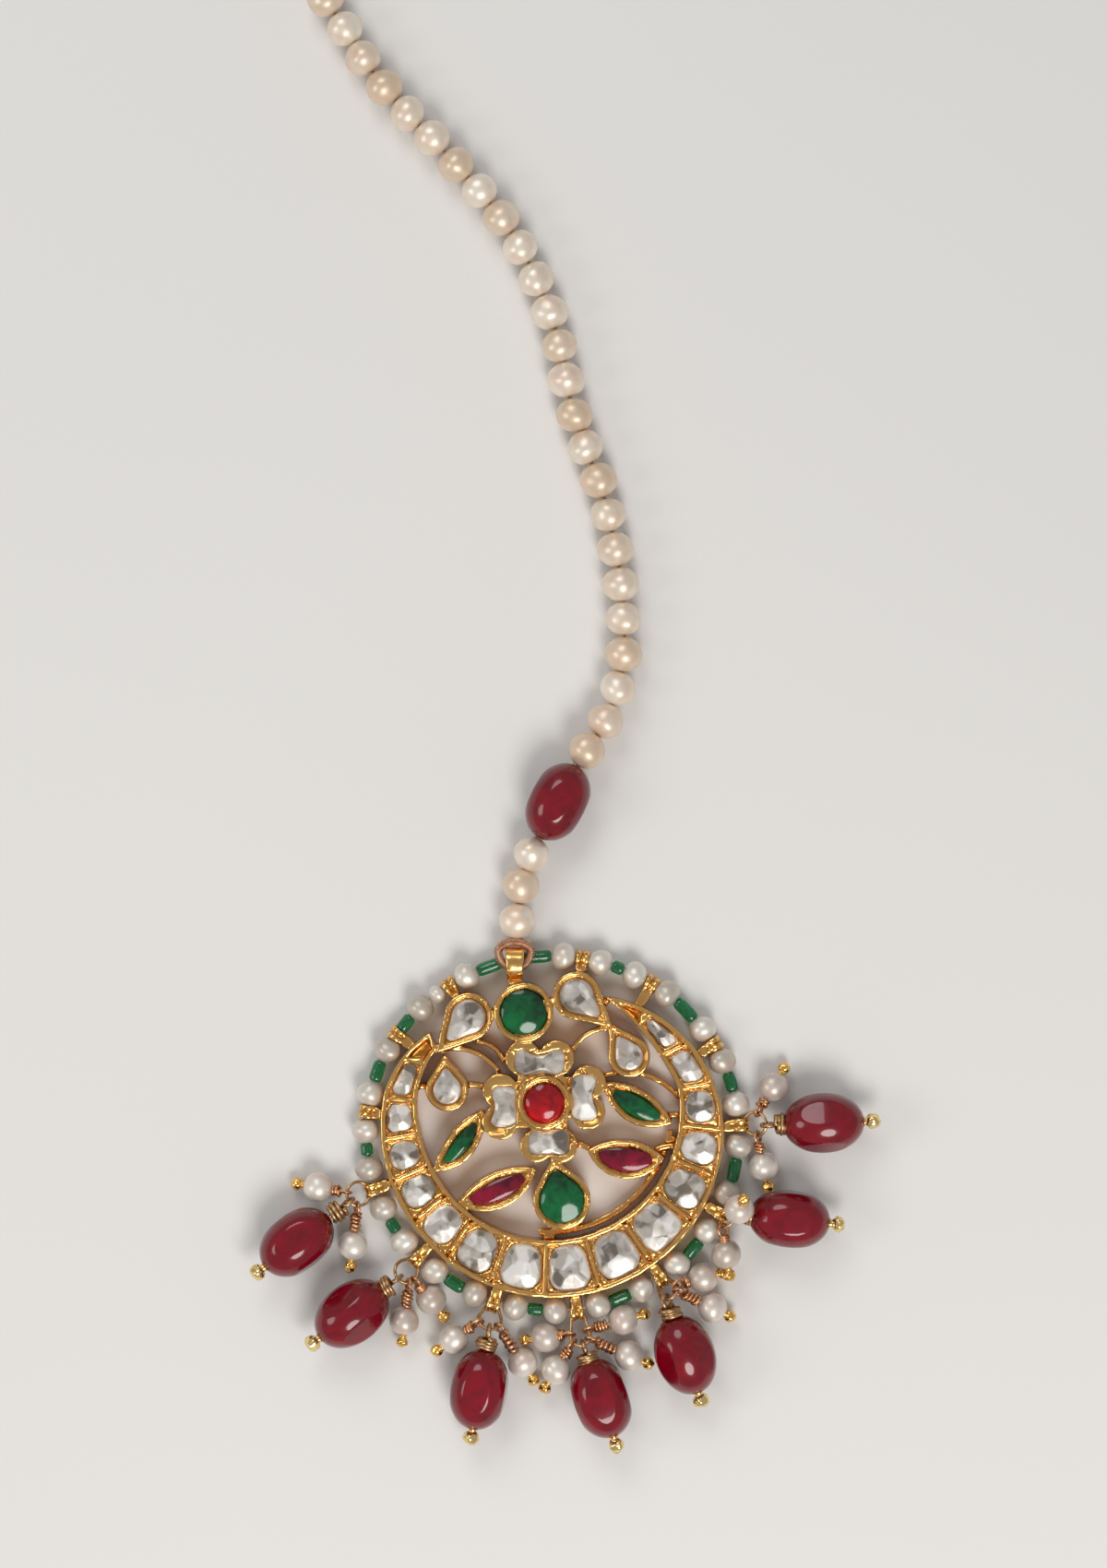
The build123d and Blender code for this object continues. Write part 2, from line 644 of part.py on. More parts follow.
# ---- Outlines shared by the frame and the stones ----
crescent = crescent_outline()
stone_band = inset(crescent.face(), STONE_MARGIN)
shelf_band = inset(crescent.face(), CRESCENT_WALL)

Setting = namedtuple("Setting", "name outline shelf bed height facets tiers")


def bezel(name, outline, height, facets, tiers):
    """A setting whose wall and bed follow its outline."""
    bed = inset(outline, BEZEL_WALL + KUNDAN_WIDTH)
    return Setting(name, outline, inset(outline, BEZEL_WALL), bed, height, facets, tiers)


settings = [bezel(row[0], round_outline(row), row[-1], ROUND_FACETS, DOME_TIERS) for row in ROUND_BEZELS]
for row in TEAR_BEZELS:
    tiers = DOME_TIERS if row[0] == "emerald_drop" else POLKI_TIERS
    settings.append(bezel(row[0], tear_outline(row), row[-1], TEAR_FACETS, tiers))
settings += [bezel(row[0], leaf_outline(row), row[-1], LEAF_FACETS, POLKI_TIERS) for row in LEAF_BEZELS]
settings += [Setting(row[0], petal_outline(row), petal_shelf(row), petal_stone_outline(row), row[-1],
                     PETAL_FACETS, POLKI_TIERS) for row in PETALS]

cells = []
for index, (first, last) in enumerate(zip(DIVIDER_BEARINGS, DIVIDER_BEARINGS[1:])):
    shelf = cell_outline(shelf_band, first, last, DIVIDER_WIDTH / 2)
    bed = cell_outline(stone_band, first, last, DIVIDER_WIDTH / 2 + BED_GAP)
    rounding = CELL_ROUNDING if bed.area > SMALL_CELL_AREA else SMALL_CELL_ROUNDING
    round_bed = inset(inset(bed, rounding), -rounding)
    cells.append((f"crescent_polki_{index + 1:02d}", shelf, sampled(round_bed, CELL_FACETS, 0.5)))

# ---- Bail strap: a loop over the bullion, narrowing into its neck ----
with BuildPart() as bail_strap:
    with BuildSketch(Plane.YZ.offset(BAIL_CENTRE.X)):
        with Locations((BAIL_CENTRE.Y, BAIL_CENTRE.Z)):
            Circle(BAIL_RADIUS)
            Circle(BAIL_HOLE, mode=Mode.SUBTRACT)
        with Locations((BAIL_CENTRE.Y - BAIL_RADIUS, BAIL_CENTRE.Z - BAIL_FOOT_DROP)):
            Rectangle(BAIL_FOOT_DEPTH, BAIL_FOOT_HEIGHT)
    extrude(amount=BAIL_TOP_WIDTH / 2, both=True)
    with BuildSketch():
        with Locations((BAIL_CENTRE.X, BAIL_CENTRE.Y)):
            half_top = BAIL_TOP_WIDTH / 2
            half_neck = BAIL_NECK_WIDTH / 2
            Polygon((-half_top, BAIL_TAPER_TOP), (half_top, BAIL_TAPER_TOP),
                    (half_neck, -BAIL_TAPER_FOOT), (-half_neck, -BAIL_TAPER_FOOT), align=None)
    extrude(amount=2 * BAIL_CENTRE.Z + BAIL_RADIUS, mode=Mode.INTERSECT)

# ---- Gold frame: everything soldered into one ----
with BuildPart() as gold_frame:
    add(crescent)
    extrude(amount=CRESCENT_HEIGHT)
    for setting in settings:
        with BuildSketch():
            add(setting.outline)
        extrude(amount=setting.height)
    for start, middle, end, width, bottom, top in STRIPS:
        with BuildSketch(Plane.XY.offset(bottom)):
            with BuildLine() as strip:
                ThreePointArc(start, middle, end)
            trace(line_width=width)
        extrude(amount=top - bottom)
    with BuildSketch():
        with BuildLine():
            ThreePointArc(on_circle(INNER_CENTRE, LIP_RADIUS, LIP_START),
                          on_circle(INNER_CENTRE, LIP_RADIUS, (LIP_START + LIP_END) / 2),
                          on_circle(INNER_CENTRE, LIP_RADIUS, LIP_END))
        trace(line_width=LIP_WIDTH)
    extrude(amount=LIP_HEIGHT)
    for bearing in (LIP_START - LIP_JOIN_TURN, LIP_END + LIP_JOIN_TURN):
        lip_join = on_circle(INNER_CENTRE, LIP_RADIUS + LIP_JOIN, bearing)
        with Locations((lip_join.X, lip_join.Y, LIP_HEIGHT / 2)):
            Cylinder(LIP_JOIN, LIP_HEIGHT)
    add(bail_strap.part)
    for bearing, reach, drop, beads in RIM_LOOPS:
        width = DROP_LOOP_WIDTH if drop else PLAIN_LOOP_WIDTH
        loop = rim_frame(bearing, DROP_LOOP_OFFSET if drop else 0)
        with Locations(loop.location):
            Cylinder(LOOP_RADIUS - LOOP_GROOVE, width)
            with Locations((0, 0, width / 2 - LOOP_FLANGE / 2), (0, 0, LOOP_FLANGE / 2 - width / 2)):
                Cylinder(LOOP_RADIUS, LOOP_FLANGE)
            with Locations((-LOOP_HOLE - LOOP_GROOVE, 0, 0)):
                Box(reach, STUB_HEIGHT, width * STUB_SHARE, align=(Align.MAX, Align.CENTER, Align.CENTER))
    for bearing, reach, drop, beads in RIM_LOOPS:
        loop = rim_frame(bearing, DROP_LOOP_OFFSET if drop else 0)
        with Locations(loop.location):
            Cylinder(LOOP_HOLE, 2 * PLAIN_LOOP_WIDTH, mode=Mode.SUBTRACT)
    for name, shelf, corners in cells:
        with BuildSketch(Plane.XY.offset(CRESCENT_HEIGHT)):
            add(shelf)
        extrude(amount=-CELL_SHELF_DEPTH, mode=Mode.SUBTRACT)
        with BuildSketch(Plane.XY.offset(CRESCENT_HEIGHT)):
            Polygon(*scaled(corners, SEAT_EASE), align=None)
        extrude(amount=CRESCENT_SEAT - CRESCENT_HEIGHT, mode=Mode.SUBTRACT)
    for setting in settings:
        with BuildSketch(Plane.XY.offset(setting.height)):
            add(setting.shelf)
        extrude(amount=-SHELF_DEPTH, mode=Mode.SUBTRACT)
        with BuildSketch(Plane.XY.offset(setting.height)):
            Polygon(*scaled(sampled(setting.bed, setting.facets, 0.5), SEAT_EASE), align=None)
        extrude(amount=-SEAT_DEPTH, mode=Mode.SUBTRACT)

# ---- Stones ----
stones = []
for name, shelf, corners in cells:
    seat = CRESCENT_SEAT + SEAT_GAP
    table = CRESCENT_HEIGHT - TABLE_DROP
    stones.append(cut_stone(name, corners, seat, seat + GIRDLE_RISE, table, POLKI_TIERS))
for setting in settings:
    seat = setting.height - SEAT_DEPTH + SEAT_GAP
    corners = sampled(setting.bed, setting.facets, 0.5)
    table = setting.height + (DOME_RISE if setting.tiers is DOME_TIERS else -TABLE_DROP)
    girdle = setting.height - SHELF_DEPTH
    stones.append(cut_stone(setting.name, corners, seat, girdle, table, setting.tiers))

# ---- Rim ring ----
with BuildPart() as rim_pearls:
    for kind, plane, size in rim_beads():
        if kind in "pq":
            with Locations(plane.location):
                add(round_bead(size / 2, RIM_BORE))

with BuildPart() as rim_green_beads:
    for kind, plane, size in rim_beads():
        if kind == "g":
            with Locations(plane.location):
                add(tube_bead(size))

with BuildPart() as rim_thread:
    for shift_x, shift_y, radius, start, sweep_angle in (
        (RIM_SIDE_SHIFT, 0, RIM_SIDE_RADIUS, -RIM_CORNER, 2 * RIM_CORNER),
        (0, -RIM_TOP_SHIFT, RIM_TOP_RADIUS, RIM_CORNER, 180 - 2 * RIM_CORNER),
        (-RIM_SIDE_SHIFT, 0, RIM_SIDE_RADIUS, 180 - RIM_CORNER, 2 * RIM_CORNER),
        (0, RIM_TOP_SHIFT, RIM_TOP_RADIUS, 180 + RIM_CORNER, 180 - 2 * RIM_CORNER),
    ):
        with BuildLine() as rim_arc:
            CenterArc(RIM_CENTRE + Vector(shift_x, shift_y, RIM_Z), radius, start, sweep_angle)
        with BuildSketch(Plane(origin=rim_arc.wire() @ 0, z_dir=rim_arc.wire() % 0)):
            Circle(RIM_THREAD_RADIUS)
        sweep(path=rim_arc.wire())

# ---- Head string ----
route = string_route()
stations = string_stations(route)

with BuildPart() as string_pearls:
    for kind, distance, radius in stations:
        if kind == "pearl":
            with Locations(route_plane(route, distance).location):
                add(round_bead(radius, STRING_BORE))

with BuildPart() as string_ruby:
    for kind, distance, radius in stations:
        if kind == "ruby":
            with Locations(route_plane(route, distance).location):
                add(ruby_bead())

with BuildPart() as bullion_wire:
    with BuildLine() as bullion_line:
        CenterArc(BULLION_CENTRE, BULLION_RADIUS, 90 + BULLION_OPENING / 2, 360 - BULLION_OPENING)
    with BuildSketch(Plane(origin=bullion_line.wire() @ 0, z_dir=bullion_line.wire() % 0)):
        Circle(BULLION_TUBE)
        Circle(BULLION_BORE, mode=Mode.SUBTRACT)
    sweep(path=bullion_line.wire())

# The thread is tied round the hook's eye in an upright loop and runs inside the bullion below
string_end = route @ 1
end_heading = Vector((route % 1).X, (route % 1).Y).normalized()
thread_eye_centre = Vector(string_end.X, string_end.Y, HOOK_Z) + end_heading * THREAD_EYE
hook_eye_centre = thread_eye_centre + end_heading * HOOK_EYE
hook_side = end_heading.rotate(Axis.Z, -90)

with BuildPart() as string_thread:
    with BuildSketch(Plane(origin=route @ 0, z_dir=route % 0)):
        Circle(THREAD_RADIUS)
    sweep(path=route)
    with Locations(Plane(origin=thread_eye_centre, z_dir=hook_side).location):
        Torus(THREAD_EYE, THREAD_RADIUS)
    with BuildLine() as thread_bow:
        bow = CenterArc(BULLION_CENTRE, BULLION_RADIUS, 90 + BULLION_OPENING / 2, 360 - BULLION_OPENING)
    with BuildSketch(Plane(origin=bow @ 0, z_dir=bow % 0)):
        Circle(THREAD_RADIUS)
    sweep(path=thread_bow.wire())
    for bow_end in (bow @ 0, bow @ 1):
        leg = bow_end - route @ 0
        with Locations(Plane(origin=route @ 0, z_dir=leg).location):
            Cylinder(THREAD_RADIUS, leg.length, align=(Align.CENTER, Align.CENTER, Align.MIN))
        with Locations(bow_end, route @ 0):
            Sphere(THREAD_RADIUS)

with BuildPart() as hair_hook:
    with Locations(hook_eye_centre):
        Torus(HOOK_EYE, HOOK_WIRE)
    with BuildLine() as hook_line:
        shank = Line(hook_eye_centre + end_heading * HOOK_EYE,
                     hook_eye_centre + end_heading * (HOOK_EYE + HOOK_SHANK))
        bend = JernArc(shank @ 1, shank % 1, HOOK_BEND, -180)
        back = Line(bend @ 1, bend @ 1 + (bend % 1) * HOOK_RETURN)
        flare = JernArc(back @ 1, back % 1, 2 * HOOK_BEND, HOOK_FLARE)
    with BuildSketch(Plane(origin=hook_line.wire() @ 0, z_dir=hook_line.wire() % 0)):
        Circle(HOOK_WIRE)
    sweep(path=hook_line.wire())
    with Locations(flare @ 1):
        Sphere(HOOK_BALL)

# ---- Links: narrow in the rim loop, wide where the pins hang ----
with BuildPart() as jump_links:
    for plane, length, wide_radius in links.values():
        lean = math.asin((wide_radius - LINK_NARROW) / (length - wide_radius - LINK_NARROW))
        narrow_x = LINK_SET_IN + LINK_NARROW
        wide_x = LINK_SET_IN + length - wide_radius
        narrow = (narrow_x - LINK_NARROW * math.sin(lean), LINK_NARROW * math.cos(lean))
        wide = (wide_x - wide_radius * math.sin(lean), wide_radius * math.cos(lean))
        with BuildLine(plane) as link_line:
            ThreePointArc((narrow[0], -narrow[1]), (LINK_SET_IN, 0), narrow)
            Line(narrow, wide)
            ThreePointArc(wide, (wide_x + wide_radius, 0), (wide[0], -wide[1]))
            Line((wide[0], -wide[1]), (narrow[0], -narrow[1]))
        with BuildSketch(Plane(origin=link_line.wire() @ 0, z_dir=link_line.wire() % 0)):
            Circle(LINK_WIRE)
        sweep(path=link_line.wire())

# ---- Ruby drops ----
drop_parts = []
for drop, x, y, z, station, roll in RUBY_DROPS:
    bead_centre = Vector(x, y, z)
    plane = pin_plane(drop, station, bead_centre, RUBY_PIN)
    pin = head_pin(plane, RUBY_PIN, (bead_centre - plane.origin).length, RUBY_HALF_LENGTH)
    pin.label = f"ruby_pin_{drop}"
    drop_parts.append(pin)
    bead_plane = Plane(origin=bead_centre, x_dir=plane.x_dir.rotate(Axis((0, 0, 0), plane.z_dir), roll),
                       z_dir=plane.z_dir)
    with BuildPart() as bead:
        with Locations(bead_plane.location):
            add(ruby_bead())
    bead.part.label = f"ruby_bead_{drop}"
    drop_parts.append(bead.part)

# ---- Pearl drops ----
with BuildPart() as drop_pearls:
    for drop, x, y, z, station in PEARL_DROPS:
        plane = pin_plane(drop, station, Vector(x, y, z), PEARL_PIN)
        with Locations(Plane(origin=(x, y, z), z_dir=plane.z_dir).location):
            add(round_bead(PEARL_RADIUS, PEARL_BORE))

with BuildPart() as pearl_pins:
    for drop, x, y, z, station in PEARL_DROPS:
        plane = pin_plane(drop, station, Vector(x, y, z), PEARL_PIN)
        add(head_pin(plane, PEARL_PIN, (Vector(x, y, z) - plane.origin).length, PEARL_RADIUS))

pieces = {
    "gold_frame": gold_frame, "rim_pearls": rim_pearls, "rim_green_beads": rim_green_beads,
    "rim_thread": rim_thread, "string_pearls": string_pearls, "string_ruby": string_ruby,
    "string_thread": string_thread, "bullion_wire": bullion_wire, "hair_hook": hair_hook,
    "jump_links": jump_links, "drop_pearls": drop_pearls, "pearl_pins": pearl_pins,
}
for name, builder in pieces.items():
    builder.part.label = name

os.makedirs("parts", exist_ok=True)
for piece in [builder.part for builder in pieces.values()] + stones + drop_parts:
    export_step(piece, f"parts/{piece.label}.step")
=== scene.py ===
"""Looks of a maang tikka: a pearl head string, a crescent medallion and a fringe of ruby and pearl drops.

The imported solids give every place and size. Each class below dresses one sub-assembly in metres.
"""

import logging
import math
from dataclasses import dataclass, field
from enum import Enum
from typing import Callable, Iterable, Sequence

import bmesh
import bpy
import numpy as np
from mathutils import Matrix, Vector
from mathutils.kdtree import KDTree


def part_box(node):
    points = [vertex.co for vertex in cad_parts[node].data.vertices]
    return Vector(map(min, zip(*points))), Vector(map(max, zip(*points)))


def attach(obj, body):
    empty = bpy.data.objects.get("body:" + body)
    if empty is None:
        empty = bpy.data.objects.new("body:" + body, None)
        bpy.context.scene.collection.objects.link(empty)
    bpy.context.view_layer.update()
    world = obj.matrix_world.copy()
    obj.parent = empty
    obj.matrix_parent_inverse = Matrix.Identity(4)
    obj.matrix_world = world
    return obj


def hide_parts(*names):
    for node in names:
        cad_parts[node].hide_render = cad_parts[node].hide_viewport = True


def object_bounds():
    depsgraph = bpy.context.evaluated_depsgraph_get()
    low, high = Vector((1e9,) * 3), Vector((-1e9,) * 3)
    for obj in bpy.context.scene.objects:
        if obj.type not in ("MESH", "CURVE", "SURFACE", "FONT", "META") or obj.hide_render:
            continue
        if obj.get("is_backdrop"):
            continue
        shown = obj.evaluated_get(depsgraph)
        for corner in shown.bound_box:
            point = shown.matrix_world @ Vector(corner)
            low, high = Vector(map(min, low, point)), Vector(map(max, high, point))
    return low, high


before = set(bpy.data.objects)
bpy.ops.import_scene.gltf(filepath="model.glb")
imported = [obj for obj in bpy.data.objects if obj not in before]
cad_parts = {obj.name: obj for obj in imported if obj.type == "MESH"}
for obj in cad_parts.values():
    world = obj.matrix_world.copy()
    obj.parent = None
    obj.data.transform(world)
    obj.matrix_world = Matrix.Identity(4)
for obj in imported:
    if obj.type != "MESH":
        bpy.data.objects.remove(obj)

LOG = logging.getLogger("maang_tikka")
MM = 0.001
UP = np.array((0.0, 0.0, 1.0))
SEED_RANGE = 40
Triple = tuple[float, float, float]
Colour = Triple
Faces = list[tuple[int, ...]]


# ---------------------------------------------------------------- shader graph

@dataclass(frozen=True)
class Val:
    """A shader value that takes part in Python expressions."""

    graph: "Graph"
    socket: bpy.types.NodeSocket | None

    def math(self, operation: str, *others: "Val | float") -> "Val":
        """Adds a Math node that starts with this value."""
        return self.graph.node("ShaderNodeMath", {"operation": operation}, [self, *others])

    def __add__(self, other: "Val | float") -> "Val":
        """Sum with a value or number."""
        return self.math("ADD", other)

    def __mul__(self, other: "Val | float") -> "Val":
        """Product with a value or number."""
        return self.math("MULTIPLY", other)

    def __sub__(self, other: "Val | float") -> "Val":
        """Difference from a value or number."""
        return self.math("SUBTRACT", other)

    def __rsub__(self, other: "Val | float") -> "Val":
        """Difference of a number and this value."""
        return self.graph.node("ShaderNodeMath", {"operation": "SUBTRACT"}, [other, self])

    __radd__ = __add__
    __rmul__ = __mul__

    def clamp(self) -> "Val":
        """This value held between 0 and 1."""
        return self.graph.node("ShaderNodeClamp", {}, [self, 0.0, 1.0])

    def between(self, low: float, high: float) -> "Val":
        """Rises smoothly from 0 to 1 as this value goes from low to high.

        Args:
            low: The value that gives 0.
            high: The value that gives 1.

        Returns:
            The smooth step.
        """
        inputs = {"Value": self, "From Min": low, "From Max": high}
        return self.graph.node("ShaderNodeMapRange", {"interpolation_type": "SMOOTHSTEP"}, inputs)


class Cells(Enum):
    """How the cells of a cell pattern meet."""

    SHARP = "F1"
    SMOOTH = "SMOOTH_F1"


class Graph:
    """A material's node graph."""

    def __init__(self, name: str) -> None:
        """Makes an empty material.

        Args:
            name: The material's name.
        """
        self.material = bpy.data.materials.new(name)
        self.material.use_nodes = True
        self.material.node_tree.nodes.clear()

    def node(self, kind: str, settings: dict[str, object],
             inputs: Sequence[object] | dict[str | int, object], out: int | str = 0) -> Val:
        """Adds a node, sets its options, then its sockets.

        Args:
            kind: The node's type.
            settings: Options by name.
            inputs: Values or links, in order or by socket.
            out: The output wanted.

        Returns:
            The wanted output, or an empty value for a node without outputs.
        """
        made = self.material.node_tree.nodes.new(kind)
        for name, value in settings.items():
            setattr(made, name, value)
        pairs = inputs.items() if isinstance(inputs, dict) else enumerate(inputs)
        for key, value in pairs:
            if isinstance(value, Val):
                self.material.node_tree.links.new(value.socket, made.inputs[key])
            else:
                if isinstance(value, tuple) and len(made.inputs[key].default_value) == 4:
                    value = (*value, 1.0)
                made.inputs[key].default_value = value
        return Val(self, made.outputs[out] if made.outputs else None)

    def place(self, scale: float, stretch: Triple = (1.0, 1.0, 1.0)) -> Val:
        """Surface position in millimetres, times a scale.

        Args:
            scale: Pattern repeats for each millimetre.
            stretch: Extra scale along each axis.

        Returns:
            The scaled position.
        """
        spot = self.node("ShaderNodeTexCoord", {}, [], "Object")
        factor = tuple(scale * part / MM for part in stretch)
        return self.node("ShaderNodeVectorMath", {"operation": "MULTIPLY"}, [spot, factor])

    def noise(self, scale: float, detail: float = 3.0, stretch: Triple = (1.0, 1.0, 1.0),
              distortion: float = 0.0) -> Val:
        """Cloudy noise between 0 and 1.

        Args:
            scale: Blotches for each millimetre.
            detail: Octaves of finer noise.
            stretch: Extra scale along each axis.
            distortion: How far the noise is bent by itself.

        Returns:
            The noise value.
        """
        inputs = {"Vector": self.place(scale, stretch), "Scale": 1.0, "Detail": detail,
                  "Distortion": distortion}
        return self.node("ShaderNodeTexNoise", {}, inputs, "Fac")

    def cells(self, scale: float, kind: Cells = Cells.SMOOTH, out: str = "Distance",
              smoothness: float = 1.0) -> Val:
        """Cell pattern.

        Args:
            scale: Cells for each millimetre.
            kind: How the cells meet.
            out: The output wanted.
            smoothness: How softly smooth cells meet.

        Returns:
            The wanted output.
        """
        inputs = {"Vector": self.place(scale), "Scale": 1.0}
        if kind is Cells.SMOOTH:
            inputs["Smoothness"] = smoothness
        return self.node("ShaderNodeTexVoronoi", {"feature": kind.value}, inputs, out)

    def attribute(self, name: str) -> Val:
        """A number that the mesh carries, by name."""
        return self.node("ShaderNodeAttribute", {"attribute_name": name}, [], "Fac")

    def mix(self, factor: Val | float, low: Val | Colour, high: Val | Colour) -> Val:
        """Mixes two colours.

        Args:
            factor: Share of the second colour.
            low: Colour at 0.
            high: Colour at 1.

        Returns:
            The mixed colour.
        """
        return self.node("ShaderNodeMix", {"data_type": "RGBA"}, {0: factor, 6: low, 7: high}, 2)

    def bump(self, height: Val, depth: float, under: Val | None = None) -> Val:
        """Surface normal from a height value.

        Args:
            height: Height between 0 and 1.
            depth: Millimetres that the full height stands for.
            under: A normal that this one is added to.

        Returns:
            The normal.
        """
        inputs = {"Height": height, "Distance": depth * MM, "Strength": 1.0}
        if under is not None:
            inputs["Normal"] = under
        return self.node("ShaderNodeBump", {}, inputs)

    def surface(self, **sockets: object) -> bpy.types.Material:
        """Ends the graph in one Principled surface.

        Args:
            sockets: Values by socket name, with _ for a space.

        Returns:
            The finished material.
        """
        inputs = {name.replace("_", " ").title().replace("Ior", "IOR"): value
                  for name, value in sockets.items()}
        shader = self.node("ShaderNodeBsdfPrincipled", {}, inputs)
        self.node("ShaderNodeOutputMaterial", {}, {"Surface": shader})
        return self.material


# ---------------------------------------------------------------- finishes

@dataclass(frozen=True)
class GoldFinish:
    """High-carat gold: burnished tops, painted shade as deeper colour in the recesses, small pits."""

    name: str
    bright: Colour = (0.98, 0.575, 0.19)
    # deep: the colour of the painted shade in hollows, and of the darker random tone.
    deep: Colour = (0.5, 0.2, 0.036)
    dirt: Colour = (0.3, 0.12, 0.03)
    smooth: float = 0.15
    rough: float = 0.36
    pit_roughness: float = 0.15
    pit_depth: float = 0.012
    grain_depth: float = 0.003
    wave_depth: float = 0.035
    waves: float = 0.55
    edge_share: float = 0.65
    tone_share: float = 0.5
    painted_shade_share: float = 0.75

    def material(self) -> bpy.types.Material:
        """Builds the gold.

        Returns:
            The material.
        """
        g = Graph(self.name)
        # Painted shade: the colour goes to deep in concave hollows (low pointiness) and where the mesh marks
        # painted shade. The brighter convex tops are partly real burnished wear.
        edge = g.node("ShaderNodeNewGeometry", {}, [], "Pointiness").between(low=0.44, high=0.54)
        tone = g.noise(scale=0.7, detail=4.0)
        painted_shade = g.attribute("painted_shade")
        shade = (edge * self.edge_share + tone * self.tone_share - painted_shade * self.painted_shade_share).clamp()
        pits = 1 - g.cells(1.4, Cells.SHARP).between(low=0.05, high=0.14)
        colour = g.mix(pits * 0.5, g.mix(shade, self.deep, self.bright), self.dirt)
        waves = g.bump(g.noise(self.waves, detail=1.0), self.wave_depth)
        grain = g.bump(g.noise(scale=7.0, detail=2.0), self.grain_depth, waves)
        roughness = self.smooth + (1 - edge) * (self.rough - self.smooth) + pits * self.pit_roughness
        return g.surface(base_color=colour, metallic=1.0, roughness=roughness,
                         normal=g.bump(1 - pits, self.pit_depth, grain))


@dataclass(frozen=True)
class WireFinish:
    """Drawn wire, a little cloudy from wear."""

    name: str
    bright: Colour
    deep: Colour
    roughness: float = 0.24
    wear: float = 0.12
    grain_depth: float = 0.008

    def material(self) -> bpy.types.Material:
        """Builds the wire's metal.

        Returns:
            The material.
        """
        g = Graph(self.name)
        tone = g.noise(scale=1.4)
        colour = g.mix(tone.between(low=0.3, high=0.7), self.deep, self.bright)
        return g.surface(base_color=colour, metallic=1.0, roughness=self.roughness + tone * self.wear,
                         normal=g.bump(g.noise(scale=14.0), self.grain_depth))


@dataclass(frozen=True)
class PearlFinish:
    """Freshwater nacre: a satin body with a soft clear lustre over it."""

    name: str
    light: Colour
    dark: Colour
    blush: Colour
    blush_share: float = 0.6
    metallic: float = 0.4
    roughness: float = 0.36
    lustre: float = 0.7
    lustre_roughness: float = 0.28
    glow: float = 0.1
    glow_reach: float = 1.2 * MM
    crease_depth: float = 0.12
    grain_depth: float = 0.025

    def material(self) -> bpy.types.Material:
        """Builds the nacre.

        Returns:
            The material.
        """
        g = Graph(self.name)
        cloud = g.noise(scale=0.55, distortion=0.6)
        tone = g.attribute("tone") * 0.6 + cloud * 0.7
        patches = g.noise(scale=0.35, detail=2.0).between(low=0.48, high=0.72)
        colour = g.mix(tone.between(low=0.25, high=0.95), self.light, self.dark)
        creases = g.bump(g.cells(0.45), self.crease_depth)
        return g.surface(base_color=g.mix(patches * self.blush_share, colour, self.blush),
                         metallic=self.metallic, roughness=self.roughness + cloud * 0.1,
                         subsurface_weight=self.glow, subsurface_radius=(1.0, 0.7, 0.5),
                         subsurface_scale=self.glow_reach, coat_weight=self.lustre,
                         coat_roughness=self.lustre_roughness,
                         normal=g.bump(g.noise(scale=1.6), self.grain_depth, creases))


@dataclass(frozen=True)
class PolkiFinish:
    """Uncut diamond over crinkled silver foil under clear gloss: its bright, grey and dark patches are
    painted reflections, and its rim a painted warm reflection and shade.
    """

    name: str
    bright: Colour = (0.8, 0.775, 0.73)
    middle: Colour = (0.46, 0.425, 0.38)
    dark: Colour = (0.15, 0.125, 0.1)
    # Real random stains, and the painted reflection and shade along the rim.
    stain_and_painted_rim: Colour = (0.44, 0.3, 0.16)
    metallic: float = 0.25
    roughness: float = 0.26
    gloss_roughness: float = 0.06
    crinkle_depth: float = 0.07

    def material(self) -> bpy.types.Material:
        """Builds the foiled stone.

        Returns:
            The material.
        """
        g = Graph(self.name)
        flakes = g.cells(0.7, out="Color", smoothness=0.2)
        flake = g.node("ShaderNodeSeparateColor", {}, [flakes], 0)
        fine = g.noise(scale=1.4, detail=2.0, distortion=0.5)
        # Painted reflections: each facet and foil flake gets a bright, grey or dark tone as if it mirrored
        # the surroundings.
        light = g.attribute("facet") * 0.48 + flake * 0.42 + fine * 0.25
        colour = g.mix(light.between(low=0.3, high=0.52), self.dark, self.middle)
        colour = g.mix(light.between(low=0.54, high=0.84), colour, self.bright)
        # Painted warm reflection of the gold and shade along the stone's edge; the random patches are stains.
        rim = 1 - g.attribute("edge").between(low=0.0, high=0.2)
        patches = g.noise(scale=0.45, detail=2.0).between(low=0.52, high=0.8)
        return g.surface(base_color=g.mix(rim * 0.55 + patches * 0.3, colour, self.stain_and_painted_rim),
                         metallic=self.metallic, roughness=self.roughness + flake * 0.1, coat_weight=1.0,
                         coat_roughness=self.gloss_roughness, normal=g.bump(g.cells(0.9), self.crinkle_depth))


